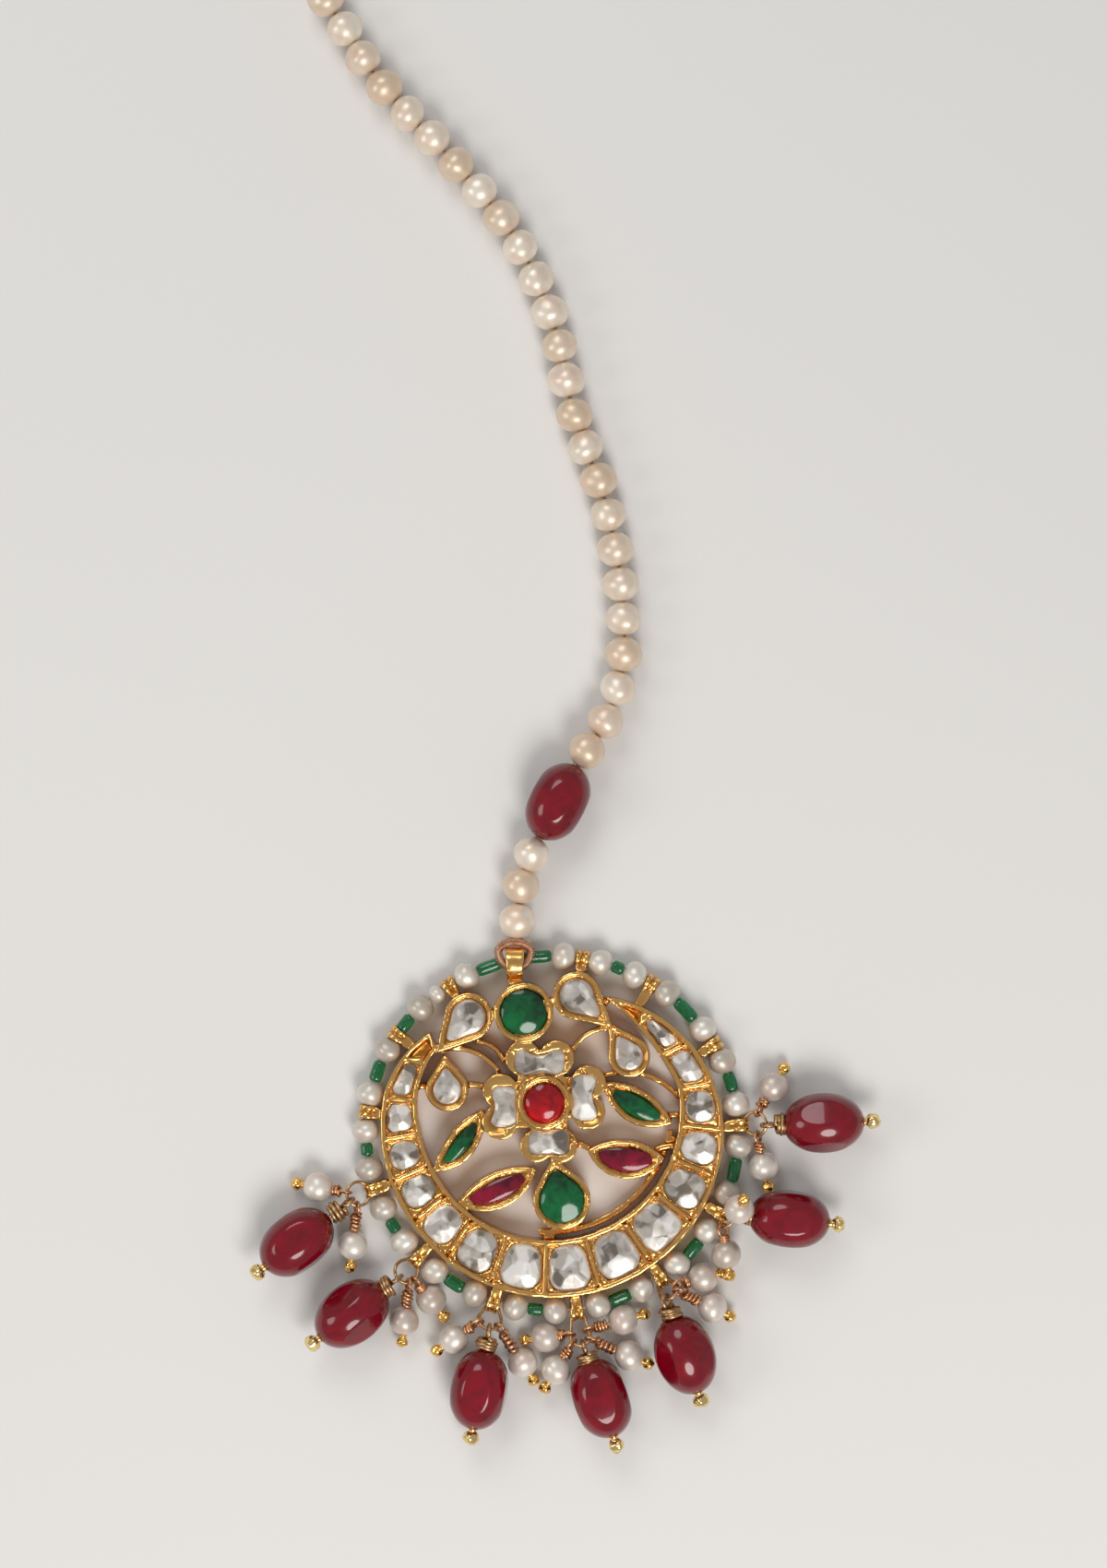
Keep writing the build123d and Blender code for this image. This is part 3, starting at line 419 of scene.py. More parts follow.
@dataclass(frozen=True)
class GemFinish:
    """A clear coloured stone or glass. On cut stones painted light makes it lighter on its lower side,
    towards the key lamp, and each facet a little lighter or darker as painted reflection.
    """

    name: str
    body: Colour
    glow: Colour
    veil: Colour
    veil_share: float = 0.4
    roughness: float = 0.1
    clear: float = 0.0
    shine: float = 0.35
    gloss: float = 0.45
    gloss_roughness: float = 0.11
    bend: float = 1.5
    wave_depth: float = 0.03

    def material(self) -> bpy.types.Material:
        """Builds the stone.

        Returns:
            The material.
        """
        g = Graph(self.name)
        cloud = g.noise(scale=0.9, detail=4.0, distortion=0.8)
        # Painted light: the glow mark lights the stone towards the key lamp's side, and the facet mark paints
        # each facet lighter or darker. The clouds are the stone's own.
        light = g.attribute("glow") * 0.6 + cloud * 1.3 + g.attribute("facet") * 0.4 - 0.7
        colour = g.mix(light.clamp(), self.body, self.glow)
        veils = g.noise(scale=2.3, distortion=2.0).between(low=0.58, high=0.75)
        return g.surface(base_color=g.mix(veils * self.veil_share, colour, self.veil),
                         roughness=self.roughness, specular_ior_level=self.shine,
                         transmission_weight=self.clear, ior=self.bend, coat_weight=self.gloss,
                         coat_roughness=self.gloss_roughness,
                         normal=g.bump(g.noise(scale=0.8), self.wave_depth))


@dataclass(frozen=True)
class RubyFinish:
    """Translucent raspberry ruby: painted light on its upward faces and painted shade on its steep sides,
    with random veins and faint clouds.
    """

    name: str
    # The first colour is the painted shade of the steep sides, the next the painted light of the upward
    # faces.
    rim: Colour = (0.08, 0.0, 0.004)
    painted_glow: Colour = (0.34, 0.0, 0.012)
    cloud: Colour = (0.22, 0.003, 0.022)
    cloud_share: float = 0.35
    roughness: float = 0.22
    shine: float = 0.2
    bend: float = 1.5
    glow: float = 0.25
    glow_reach: float = 2.2 * MM
    gloss: float = 0.75
    gloss_roughness: float = 0.05
    wave_depth: float = 0.03

    def material(self) -> bpy.types.Material:
        """Builds the ruby.

        Returns:
            The material.
        """
        g = Graph(self.name)
        # Painted light and shade: faces that look up are painted lighter, the steep sides darker; the veins
        # are random.
        painted_top_light = g.node("ShaderNodeVectorMath", {"operation": "DOT_PRODUCT"},
                        [g.node("ShaderNodeNewGeometry", {}, [], "Normal"), tuple(UP)], 1)
        veins = g.noise(scale=0.5, detail=4.0, distortion=1.2)
        colour = g.mix((painted_top_light * 0.35 + veins * 0.9 - 0.3).clamp(), self.rim, self.painted_glow)
        clouds = g.noise(scale=1.3, distortion=2.0).between(low=0.55, high=0.8)
        return g.surface(base_color=g.mix(clouds * self.cloud_share, colour, self.cloud),
                         roughness=self.roughness, specular_ior_level=self.shine, ior=self.bend,
                         subsurface_weight=self.glow, subsurface_radius=(1.0, 0.08, 0.12),
                         subsurface_scale=self.glow_reach, coat_weight=self.gloss,
                         coat_roughness=self.gloss_roughness,
                         normal=g.bump(g.noise(scale=0.5, detail=2.0), self.wave_depth))


@dataclass(frozen=True)
class ThreadFinish:
    """Twisted silk thread."""

    name: str
    light: Colour = (0.72, 0.62, 0.5)
    dark: Colour = (0.4, 0.3, 0.22)
    roughness: float = 0.85
    sheen: float = 0.3
    strand_depth: float = 0.04

    def material(self) -> bpy.types.Material:
        """Builds the thread.

        Returns:
            The material.
        """
        g = Graph(self.name)
        strand = g.noise(scale=6.0, stretch=(1.0, 1.0, 0.4))
        return g.surface(base_color=g.mix(strand, self.dark, self.light), roughness=self.roughness,
                         sheen_weight=self.sheen, normal=g.bump(strand, self.strand_depth))


@dataclass(frozen=True)
class FloorFinish:
    """Pale matt board."""

    name: str = "pale_board"
    colour: Colour = (0.78, 0.765, 0.74)
    lift: float = 1.02
    roughness: float = 0.75
    shine: float = 0.2

    def material(self) -> bpy.types.Material:
        """Builds the board.

        Returns:
            The material.
        """
        g = Graph(self.name)
        paler = tuple(part * self.lift for part in self.colour)
        return g.surface(base_color=g.mix(g.noise(scale=0.02, detail=2.0), self.colour, paler),
                         roughness=self.roughness, specular_ior_level=self.shine)


# ---------------------------------------------------------------- mesh tools

@dataclass
class Shape:
    """A mesh under way: points, faces and the numbers that each point carries."""

    points: list[np.ndarray] = field(default_factory=list)
    faces: Faces = field(default_factory=list)
    marks: dict[str, list[np.ndarray]] = field(default_factory=dict)
    count: int = 0

    def add(self, points: np.ndarray, faces: Iterable[Sequence[int]], **marks: np.ndarray | float) -> None:
        """Adds one closed form.

        Args:
            points: Its points, in metres.
            faces: Its faces, numbered from 0.
            marks: Numbers for its points, by name.
        """
        self.faces += [tuple(index + self.count for index in face) for face in faces]
        self.points.append(points)
        for name, value in marks.items():
            self.marks.setdefault(name, []).append(np.broadcast_to(np.asarray(value, float), len(points)))
        self.count += len(points)

    def piece(self, name: str, slot: str, stands_for: Sequence[str],
              material: bpy.types.Material) -> bpy.types.Object:
        """Turns the shape into a finished piece on the jewel.

        Args:
            name: The piece's name.
            slot: Not used.
            stands_for: CAD nodes that it replaces.
            material: Its finish.

        Returns:
            The new object.
        """
        mesh = bpy.data.meshes.new(name)
        mesh.from_pydata(np.concatenate(self.points).tolist(), [], self.faces)
        mesh.validate()
        for mark, parts in self.marks.items():
            layer = mesh.attributes.new(mark, "FLOAT", "POINT")
            layer.data.foreach_set("value", np.concatenate(parts).astype(np.float32))
        mesh.shade_smooth()
        return dress(bpy.data.objects.new(name, mesh), stands_for, material)


def dress(piece: bpy.types.Object, stands_for: Sequence[str],
          material: bpy.types.Material) -> bpy.types.Object:
    """Puts a piece on the jewel with its finish.

    Args:
        piece: The object, not yet in the scene.
        stands_for: CAD nodes that it replaces.
        material: Its finish.

    Returns:
        The same object.
    """
    bpy.context.scene.collection.objects.link(piece)
    piece.data.materials.clear()
    piece.data.materials.append(material)
    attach(piece, "root")
    if stands_for:
        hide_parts(*stands_for)
    LOG.info("%s: %d points", piece.name, len(piece.data.vertices))
    return piece


def refinish(node: str, material: bpy.types.Material) -> None:
    """Gives a CAD node, whose own mesh stays, its finish.

    Args:
        node: The node's name.
        material: Its finish.
    """
    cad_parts[node].data.materials[0] = material
    LOG.info("%s: its own mesh in %s", node, material.name)


def spots_of(mesh: bpy.types.Mesh) -> np.ndarray:
    """Reads a mesh's points.

    Args:
        mesh: The mesh.

    Returns:
        One row for each point, in metres.
    """
    spots = np.empty(len(mesh.vertices) * 3)
    mesh.vertices.foreach_get("co", spots)
    return spots.reshape(-1, 3)


def islands(node: str, weld: float = 0.002 * MM) -> list[np.ndarray]:
    """Splits a CAD node into its loose solids.

    Args:
        node: The node's name.
        weld: Points nearer than this count as one.

    Returns:
        One array of points for each solid, in metres.
    """
    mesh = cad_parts[node].data
    spots = spots_of(mesh)
    keys, same = np.unique(np.round(spots / weld).astype(np.int64), axis=0, return_inverse=True)
    same = same.ravel()
    edges = np.empty(len(mesh.edges) * 2, np.int64)
    mesh.edges.foreach_get("vertices", edges)
    pairs = same[edges.reshape(-1, 2)]
    group = np.arange(len(keys))
    while True:
        low = np.minimum(group[pairs[:, 0]], group[pairs[:, 1]])
        before = group.copy()
        np.minimum.at(group, pairs[:, 0], low)
        np.minimum.at(group, pairs[:, 1], low)
        group = group[group]
        if np.array_equal(before, group):
            break
    label = group[same]
    return [spots[label == value] for value in np.unique(label)]


@dataclass(frozen=True)
class Bead:
    """A bead's place: centre, bore direction, half length along the bore and widest radius."""

    centre: np.ndarray
    axis: np.ndarray
    half: float
    radius: float


def middle(points: np.ndarray) -> np.ndarray:
    """Centre of the box round some points."""
    return (points.min(0) + points.max(0)) / 2


def unit(vector: np.ndarray) -> np.ndarray:
    """The vector at length 1."""
    return vector / np.linalg.norm(vector)


def measured(points: np.ndarray, axis: np.ndarray) -> Bead:
    """Measures a bead along a known bore direction.

    Args:
        points: The bead's points.
        axis: Its bore direction.

    Returns:
        The bead.
    """
    along = points @ axis
    centre = middle(points)
    centre = centre + axis * ((along.max() + along.min()) / 2 - centre @ axis)
    off = points - centre
    radii = np.linalg.norm(off - np.outer(off @ axis, axis), axis=1)
    return Bead(centre, axis, (along.max() - along.min()) / 2, radii.max())


def polar(points: np.ndarray, hub: np.ndarray) -> tuple[np.ndarray, np.ndarray]:
    """Bearing and distance of points from a hub, in plan.

    Args:
        points: The points.
        hub: The hub in plan.

    Returns:
        Their bearings in radians and their distances.
    """
    off = points[:, :2] - hub
    return np.arctan2(off[:, 1], off[:, 0]), np.linalg.norm(off, axis=1)


def main_axis(points: np.ndarray) -> tuple[np.ndarray, np.ndarray]:
    """Centre and longest direction of some points.

    Args:
        points: The points.

    Returns:
        Their mean and their longest direction.
    """
    centre = points.mean(0)
    return centre, np.linalg.svd(points - centre, full_matrices=False)[2][0]


def frame_on(axis: np.ndarray, steepest: float = 0.95) -> np.ndarray:
    """A square frame whose third direction is an axis, and whose first leans upwards.

    Args:
        axis: The axis.
        steepest: Rise of the axis past which the first direction leans along X instead.

    Returns:
        Three rows: two cross directions and the axis.
    """
    axis = unit(axis)
    lean = UP if abs(axis[2]) <= steepest else np.array((1.0, 0.0, 0.0))
    first = unit(lean - axis * (lean @ axis))
    return np.array((first, np.cross(axis, first), axis))


def bands(rows: int, sides: int, ring: bool = False) -> Faces:
    """Faces between rows of points that follow each other.

    Args:
        rows: How many rows there are.
        sides: Points in each row, whose last is joined to its first.
        ring: True if the last row is joined to the first.

    Returns:
        Faces of four corners.
    """
    return [(a * sides + s, a * sides + (s + 1) % sides, b * sides + (s + 1) % sides, b * sides + s)
            for a in range(rows if ring else rows - 1) for b in [(a + 1) % rows] for s in range(sides)]


def lathe(profile: Sequence[tuple[float, float]], sides: int) -> tuple[np.ndarray, Faces]:
    """Turns a profile, whose end joins its start, about the third axis.

    Args:
        profile: Pairs of radius and height.
        sides: Facets round the axis.

    Returns:
        Points and faces.
    """
    angles = np.linspace(0, math.tau, sides, endpoint=False)
    rings = [np.stack((r * np.cos(angles), r * np.sin(angles), np.full(sides, z)), 1) for r, z in profile]
    return np.concatenate(rings), bands(len(profile), sides, ring=True)


def swept(path: np.ndarray, radii: float | np.ndarray, sides: int,
          ring: bool = False) -> tuple[np.ndarray, Faces]:
    """A round rod along a path.

    Args:
        path: Points of its middle line.
        radii: Its radius, or one for each point.
        sides: Facets round it.
        ring: True if the path closes on itself.

    Returns:
        Points and faces.
    """
    count = len(path)
    radii = np.broadcast_to(radii, count)
    ahead = np.roll(path, -1, 0) - np.roll(path, 1, 0)
    if not ring:
        ahead[0], ahead[-1] = path[1] - path[0], path[-1] - path[-2]
    ahead /= np.linalg.norm(ahead, axis=1)[:, None]
    first = frame_on(ahead[0])[0]
    rows = []
    angles = np.linspace(0, math.tau, sides, endpoint=False)
    for spot, heading, radius in zip(path, ahead, radii):
        first = unit(first - heading * (first @ heading))
        circle = np.outer(np.cos(angles), first) + np.outer(np.sin(angles), np.cross(heading, first))
        rows.append(spot + circle * radius)
    faces = bands(count, sides, ring)
    if not ring:
        faces.append(tuple(reversed(range(sides))))
        faces.append(tuple((count - 1) * sides + s for s in range(sides)))
    return np.concatenate(rows), faces


def wound(path: np.ndarray, reach: float, pitch: float, steps: int = 12) -> np.ndarray:
    """Helix round a path that lies nearly flat.

    Args:
        path: Points of the path.
        reach: Distance of the helix from the path.
        pitch: Distance from turn to turn.
        steps: Points for each turn.

    Returns:
        Points of the helix.
    """
    along = np.concatenate(([0.0], np.cumsum(np.linalg.norm(np.diff(path, axis=0), axis=1))))
    turns = int(along[-1] / pitch)
    at = np.linspace(0, along[-1], turns * steps)
    centre = np.stack([np.interp(at, along, path[:, k]) for k in range(3)], 1)
    ahead = np.gradient(centre, axis=0)
    side = np.cross(ahead, UP)
    side /= np.linalg.norm(side, axis=1)[:, None]
    lift = np.cross(side, ahead / np.linalg.norm(ahead, axis=1)[:, None])
    spin = np.linspace(0, turns * math.tau, len(at))[:, None]
    return centre + reach * (np.cos(spin) * side + np.sin(spin) * lift)


def wobble(points: np.ndarray, amount: float, wave: float, seed: float) -> np.ndarray:
    """Shifts points by a slow, smooth unevenness.

    Args:
        points: Points to move.
        amount: Furthest shift.
        wave: Length of one wave.
        seed: Picks the unevenness.

    Returns:
        The moved points.
    """
    phase = points / wave * math.tau
    slow = [np.sin(phase[:, (k + 1) % 3] + seed * (k + 1.7)) for k in range(3)]
    quick = [np.sin(phase[:, (k + 2) % 3] * 1.9 + seed * (k + 4.1)) for k in range(3)]
    return points + (np.stack(slow, 1) * 0.6 + np.stack(quick, 1) * 0.4) * amount


def rounded(half: float, radius: float, bore: float, steps: int,
            fullness: float = 2.0) -> list[tuple[float, float]]:
    """Profile of a drilled bead, whose drilling is eased at both ends.

    Args:
        half: Half its length along the bore.
        radius: Its widest radius.
        bore: Radius of its drilling.
        steps: Points along the outside.
        fullness: 2 for an oval, more for a barrel.

    Returns:
        Pairs of radius and height.
    """
    lip, eased = bore * 1.25, half * 0.97
    heights = np.sin(np.linspace(-1, 1, steps) * math.pi / 2)
    outer = [(max(lip, radius * (1 - abs(h) ** fullness) ** (1 / fullness)), half * h) for h in heights]
    return outer + [(bore, eased), (bore, -eased)]


# ---------------------------------------------------------------- head string and rim

@dataclass
class PearlRun:
    """A run of drilled pearls, each a little different."""

    node: str
    slot: str
    finish: PearlFinish
    seed: int
    uneven: float = 0.05
    least_uneven: float = 0.4
    waves: tuple[float, float] = (2.2, 3.6)
    swell: float = 1.0
    stretch: float = 1.0
    bore: float = 0.2 * MM
    sides: int = 36
    rows: int = 22

    def build(self, axes: Callable[[list[np.ndarray]], list[np.ndarray]]) -> bpy.types.Object:
        """Builds the pearls.

        Args:
            axes: Gives each solid's bore direction.

        Returns:
            The finished piece.
        """
        rng = np.random.default_rng(self.seed)
        solids = islands(self.node)
        shape = Shape()
        for points, axis in zip(solids, axes(solids)):
            bead = measured(points, axis)
            local, faces = lathe(rounded(bead.half, bead.radius, self.bore, self.rows), self.sides)
            amount = self.uneven * bead.radius * rng.uniform(self.least_uneven, 1.0)
            wave = bead.radius * rng.uniform(*self.waves)
            local = wobble(local, amount, wave, rng.uniform(0, SEED_RANGE))
            local *= (self.swell, self.swell, self.stretch)
            spots = bead.centre + local @ frame_on(bead.axis)
            spots[:, 2] += max(0.0, points[:, 2].min() - spots[:, 2].min())
            shape.add(spots, faces, tone=rng.uniform(0, 1))
        return shape.piece(self.node + "_nacre", self.slot, [self.node], self.finish.material())


def neighbour_axes(solids: list[np.ndarray]) -> list[np.ndarray]:
    """Bore directions of beads that follow each other on one thread.

    Args:
        solids: The beads' points.

    Returns:
        For each bead, the direction between its two nearest neighbours.
    """
    centres = np.array([middle(points) for points in solids])
    found = []
    for centre in centres:
        order = np.argsort(np.linalg.norm(centres - centre, axis=1))
        first, second = centres[order[1]], centres[order[2]]
        apart = (first - centre) @ (second - centre) < 0
        found.append(unit(first - second) if apart else unit(first - centre))
    return found


def rim_axes(solids: list[np.ndarray]) -> list[np.ndarray]:
    """Bore directions of beads that lie round the rim.

    Args:
        solids: The beads' points.

    Returns:
        The rim's direction at each bead.
    """
    low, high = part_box("rim_thread")
    hub = np.array((low + high) / 2)
    return [unit(np.cross(UP, (middle(points) - hub) * (1, 1, 0))) for points in solids]


@dataclass
class Rim:
    """The beaded ring round the medallion."""

    seed: int = 7
    pearl_uneven: float = 0.08
    pearl_swell: float = 1.08
    tube_bore: float = 0.28 * MM
    tube_length: float = 1.12
    tube_girth: float = 1.1
    tube_fullness: float = 5.0
    tube_uneven: float = 0.03
    tube_wave: float = 3.0
    tube_rows: int = 18
    tube_sides: int = 28

    def build(self) -> None:
        """Builds the rim's pearls and green tubes and dresses its thread."""
        pearl = PearlFinish("rim_nacre", (0.8, 0.75, 0.67), (0.56, 0.5, 0.42), (0.68, 0.53, 0.43))
        run = PearlRun("rim_pearls", "rim_pearl", pearl, self.seed, self.pearl_uneven, swell=self.pearl_swell)
        run.build(rim_axes)
        self.tubes()
        refinish("rim_thread", ThreadFinish("rim_silk").material())

    def tubes(self) -> None:
        """Builds the green glass tubes."""
        rng = np.random.default_rng(self.seed)
        solids = islands("rim_green_beads")
        shape = Shape()
        for points, axis in zip(solids, rim_axes(solids)):
            bead = measured(points, axis)
            half, radius = bead.half * self.tube_length, bead.radius * self.tube_girth
            profile = rounded(half, radius, self.tube_bore, self.tube_rows, self.tube_fullness)
            local, faces = lathe(profile, self.tube_sides)
            amount, wave = self.tube_uneven * bead.radius, bead.radius * self.tube_wave
            local = wobble(local, amount, wave, rng.uniform(0, SEED_RANGE))
            shape.add(bead.centre + local @ frame_on(bead.axis), faces)
        green = GemFinish("green_glass", (0.01, 0.3, 0.1), (0.06, 0.6, 0.25), (0.14, 0.7, 0.36), clear=0.75)
        shape.piece("rim_green_glass", "green_bead", ["rim_green_beads"], green.material())


@dataclass
class HeadString:
    """The head string: pearls, thread, gimp loop and hook. Its ruby bead is made with the drops."""

    seed: int = 3
    pearl_uneven: float = 0.06
    pearl_swell: float = 1.07
    pearl_stretch: float = 1.035
    gimp_pitch: float = 0.17 * MM
    gimp_wire: float = 0.052 * MM
    gimp_sides: int = 6
    bow_steps: int = 90
    pearl_room: float = 0.75

    def build(self) -> None:
        """Builds the string's pearls and gimp and dresses the rest."""
        pearl = PearlFinish("string_nacre", (0.9, 0.81, 0.69), (0.74, 0.57, 0.41), (0.84, 0.62, 0.47))
        run = PearlRun("string_pearls", "pearl", pearl, self.seed, self.pearl_uneven,
                       swell=self.pearl_swell, stretch=self.pearl_stretch)
        run.build(neighbour_axes)
        self.gimp()
        refinish("string_thread", ThreadFinish("string_silk").material())
        refinish("hair_hook", WireFinish("hook_gold", (0.9, 0.62, 0.27), (0.7, 0.42, 0.14)).material())

    def gimp(self) -> None:
        """Winds the fine gimp wire round its loop, which is flatter under the lowest pearl."""
        points = islands("bullion_wire")[0]
        low, high = points.min(0), points.max(0)
        tube = (high[2] - low[2]) / 2
        ring = (high[0] - low[0]) / 2 - tube
        hub = np.array(((low[0] + high[0]) / 2, low[1] + tube + ring, (low[2] + high[2]) / 2))
        turn = np.linspace(0, math.tau, self.bow_steps) + math.pi / 2
        pearl_foot = min(pearl[:, 1].min() for pearl in islands("string_pearls"))
        room = (pearl_foot - self.pearl_room * tube - hub[1]) / ring
        rise = np.sin(turn) * np.where(np.sin(turn) > 0, room, 1.0)
        bow = hub + ring * np.stack((np.cos(turn), rise, np.zeros(self.bow_steps)), 1)
        path = wound(bow, tube - self.gimp_wire, self.gimp_pitch)
        shape = Shape()
        shape.add(*swept(path, self.gimp_wire, self.gimp_sides))
        copper = WireFinish("gimp_copper", (0.9, 0.53, 0.34), (0.6, 0.28, 0.15), 0.3)
        shape.piece("gimp_turns", "bullion", ["bullion_wire"], copper.material())


# ---------------------------------------------------------------- drops

@dataclass(frozen=True)
class Pin:
    """A head pin's place: eye, heading, the eye's own axis, its sizes and its ball."""

    eye: np.ndarray
    heading: np.ndarray
    eye_axis: np.ndarray
    length: float
    eye_radius: float
    wire: float
    ball: float


def read_pin(points: np.ndarray, reach: float = 1.0 * MM) -> Pin:
    """Measures a pin from its solid, whose flatter end is the eye and whose other end is the ball.

    Args:
        points: The solid's points.
        reach: Length of an end.

    Returns:
        The pin.
    """
    centre, axis = main_axis(points)
    along = (points - centre) @ axis

    def off_axis(end: np.ndarray) -> np.ndarray:
        """Offsets of one end's points from the axis."""
        off = end - centre
        return off - np.outer(off @ axis, axis)

    ends = [points[along < along.min() + reach], points[along > along.max() - reach]]
    spreads = [np.linalg.svd(off_axis(end), full_matrices=False) for end in ends]
    eye_end = int(np.argmin([sizes[1] / sizes[0] for _, sizes, _ in spreads]))
    heading = axis if eye_end == 0 else -axis
    wide, thin = spreads[eye_end][2][:2]
    outer = np.abs((ends[eye_end] - centre) @ wide).max()
    wire = np.abs((ends[eye_end] - centre) @ thin).max()
    ball = np.linalg.norm(off_axis(ends[1 - eye_end]), axis=1).max()
    near = centre + axis * (along.min() if eye_end == 0 else along.max())
    return Pin(near + heading * outer, heading, thin, np.ptp(along) - outer, outer - wire, wire, ball)


def pins_in(node: str, shortest: float = 2 * MM) -> list[Pin]:
    """Measures every pin of a node, and passes over the small hollows inside their wraps.

    Args:
        node: The CAD node.
        shortest: A pin is longer than this.

    Returns:
        Its pins.
    """
    return [read_pin(points) for points in islands(node) if np.ptp(points, axis=0).max() > shortest]


def ball_mesh() -> tuple[np.ndarray, Faces]:
    """Makes a ball of radius 1.

    Returns:
        Points and faces.
    """
    ball = bmesh.new()
    bmesh.ops.create_icosphere(ball, subdivisions=3, radius=1.0)
    ball.verts.ensure_lookup_table()
    points = np.array([vertex.co for vertex in ball.verts])
    faces = [tuple(vertex.index for vertex in face.verts) for face in ball.faces]
    ball.free()
    return points, faces


@dataclass
class Pins:
    """Wrapped head pins with rough end nuggets. Turns are spaced in wires, and nuggets sized in balls."""

    nodes: Sequence[str]
    name: str
    finish: WireFinish
    nugget: GoldFinish
    seed: int
    wrap: float
    stem: float
    least_turns: float
    most_turns: float = 4.2
    wire_share: float = 0.92
    pitch: float = 2.05
    least_climb: float = 2.1
    turn_steps: int = 16
    turn_lean: float = 0.35
    wrap_uneven: float = 0.12
    wrap_wave: float = 0.37
    phase: float = 6.0
    loop_steps: int = 30
    stem_start: float = 0.95
    stem_steps: int = 12
    sides: tuple[int, int, int] = (10, 9, 8)
    lump: float = 0.11
    lump_waves: tuple[float, ...] = (4.1, 3.7, 6.3, 7.9)
    lump_seeds: float = 50
    body: float = 0.86
    squash: float = 0.95
    squash_uneven: float = 0.1
    tip_inside: float = 1.02
    neck: tuple[float, ...] = (0.62, 0.5, 0.46, 0.5, 0.56, 0.4)
    neck_span: tuple[float, float] = (0.5, 1.12)
    neck_sides: int = 16

    def build(self, beads: Sequence[Bead]) -> None:
        """Builds the wires and nuggets.

        Args:
            beads: The beads that the pins carry.
        """
        rng = np.random.default_rng(self.seed)
        wires, nuggets = Shape(), Shape()
        for node in self.nodes:
            for pin in pins_in(node):
                bead = min(beads, key=lambda item: self.miss(pin, item))
                self.wind(wires, pin, (bead.centre - pin.eye) @ pin.heading - bead.half, rng)
                self.cast(nuggets, pin, rng)
        wires.piece(self.name + "_wires", "pin_wire", list(self.nodes), self.finish.material())
        nuggets.piece(self.name + "_nuggets", "pin_wire", list(self.nodes), self.nugget.material())

    @staticmethod
    def miss(pin: Pin, bead: Bead) -> float:
        """Distance from a bead's centre to a pin's line.

        Args:
            pin: The pin.
            bead: The bead.

        Returns:
            The distance in metres.
        """
        off = bead.centre - pin.eye
        reach = min(max(off @ pin.heading, 0.0), pin.length)
        return float(np.linalg.norm(off - pin.heading * reach))

    def wind(self, shape: Shape, pin: Pin, bead_start: float, rng: np.random.Generator) -> None:
        """Winds one pin: eye, wrapped turns up to the bead, and the stem through it.

        Args:
            shape: Where the wire goes.
            pin: The pin.
            bead_start: Distance from the eye's centre to the bead.
            rng: Source of unevenness.
        """
        wire = pin.wire * self.wire_share
        across = np.cross(pin.heading, pin.eye_axis)
        turn = np.linspace(0, math.tau, self.loop_steps, endpoint=False)
        loop = np.outer(np.cos(turn), pin.heading) + np.outer(np.sin(turn), across)
        room = bead_start - pin.eye_radius - wire
        turns = max(self.least_turns, min(self.most_turns, room / (self.pitch * wire)))
        spin = np.linspace(0, turns * math.tau, int(turns * self.turn_steps))
        climb = max(room, self.least_climb * wire * (turns - 1))
        rise = pin.eye_radius + np.linspace(0, climb, len(spin))
        rise += self.turn_lean * wire * np.sin(spin + rng.uniform(0, self.phase))
        uneven = np.sin(spin * self.wrap_wave + rng.uniform(0, self.phase))
        radius = self.wrap * (1 + self.wrap_uneven * uneven)
        coil = (pin.eye + np.outer(rise, pin.heading) + np.outer(radius * np.cos(spin), across)
                + np.outer(radius * np.sin(spin), pin.eye_axis))
        stem = np.linspace(pin.eye_radius * self.stem_start, pin.length - pin.ball, self.stem_steps)
        shape.add(*swept(pin.eye + loop * pin.eye_radius, wire, self.sides[0], ring=True))
        shape.add(*swept(coil, wire, self.sides[1]))
        shape.add(*swept(pin.eye + np.outer(stem, pin.heading), self.stem, self.sides[2]))

    def cast(self, shape: Shape, pin: Pin, rng: np.random.Generator) -> None:
        """Casts one rough nugget with a short neck.

        Args:
            shape: Where the nugget goes.
            pin: The pin.
            rng: Source of unevenness.
        """
        ball, faces = ball_mesh()
        seed = rng.uniform(0, self.lump_seeds)
        x, y, z = ball.T
        first, second, third, fourth = self.lump_waves
        lumps = (np.sin(x * first + seed) * np.sin(y * second + seed * 2)
                 + 0.6 * np.sin(z * third + seed * 3) * np.sin(x * fourth - seed))
        ball = ball * (self.body + self.lump * lumps)[:, None]
        ball[:, 2] *= self.squash + self.squash_uneven * rng.uniform(-1, 1)
        tip = pin.eye + pin.heading * (pin.length - self.tip_inside * pin.ball)
        shape.add(tip + (ball * pin.ball) @ frame_on(pin.heading), faces)
        neck = tip - np.outer(np.linspace(*self.neck_span, len(self.neck)), pin.heading) * pin.ball
        shape.add(*swept(neck, pin.ball * np.array(self.neck), self.neck_sides))


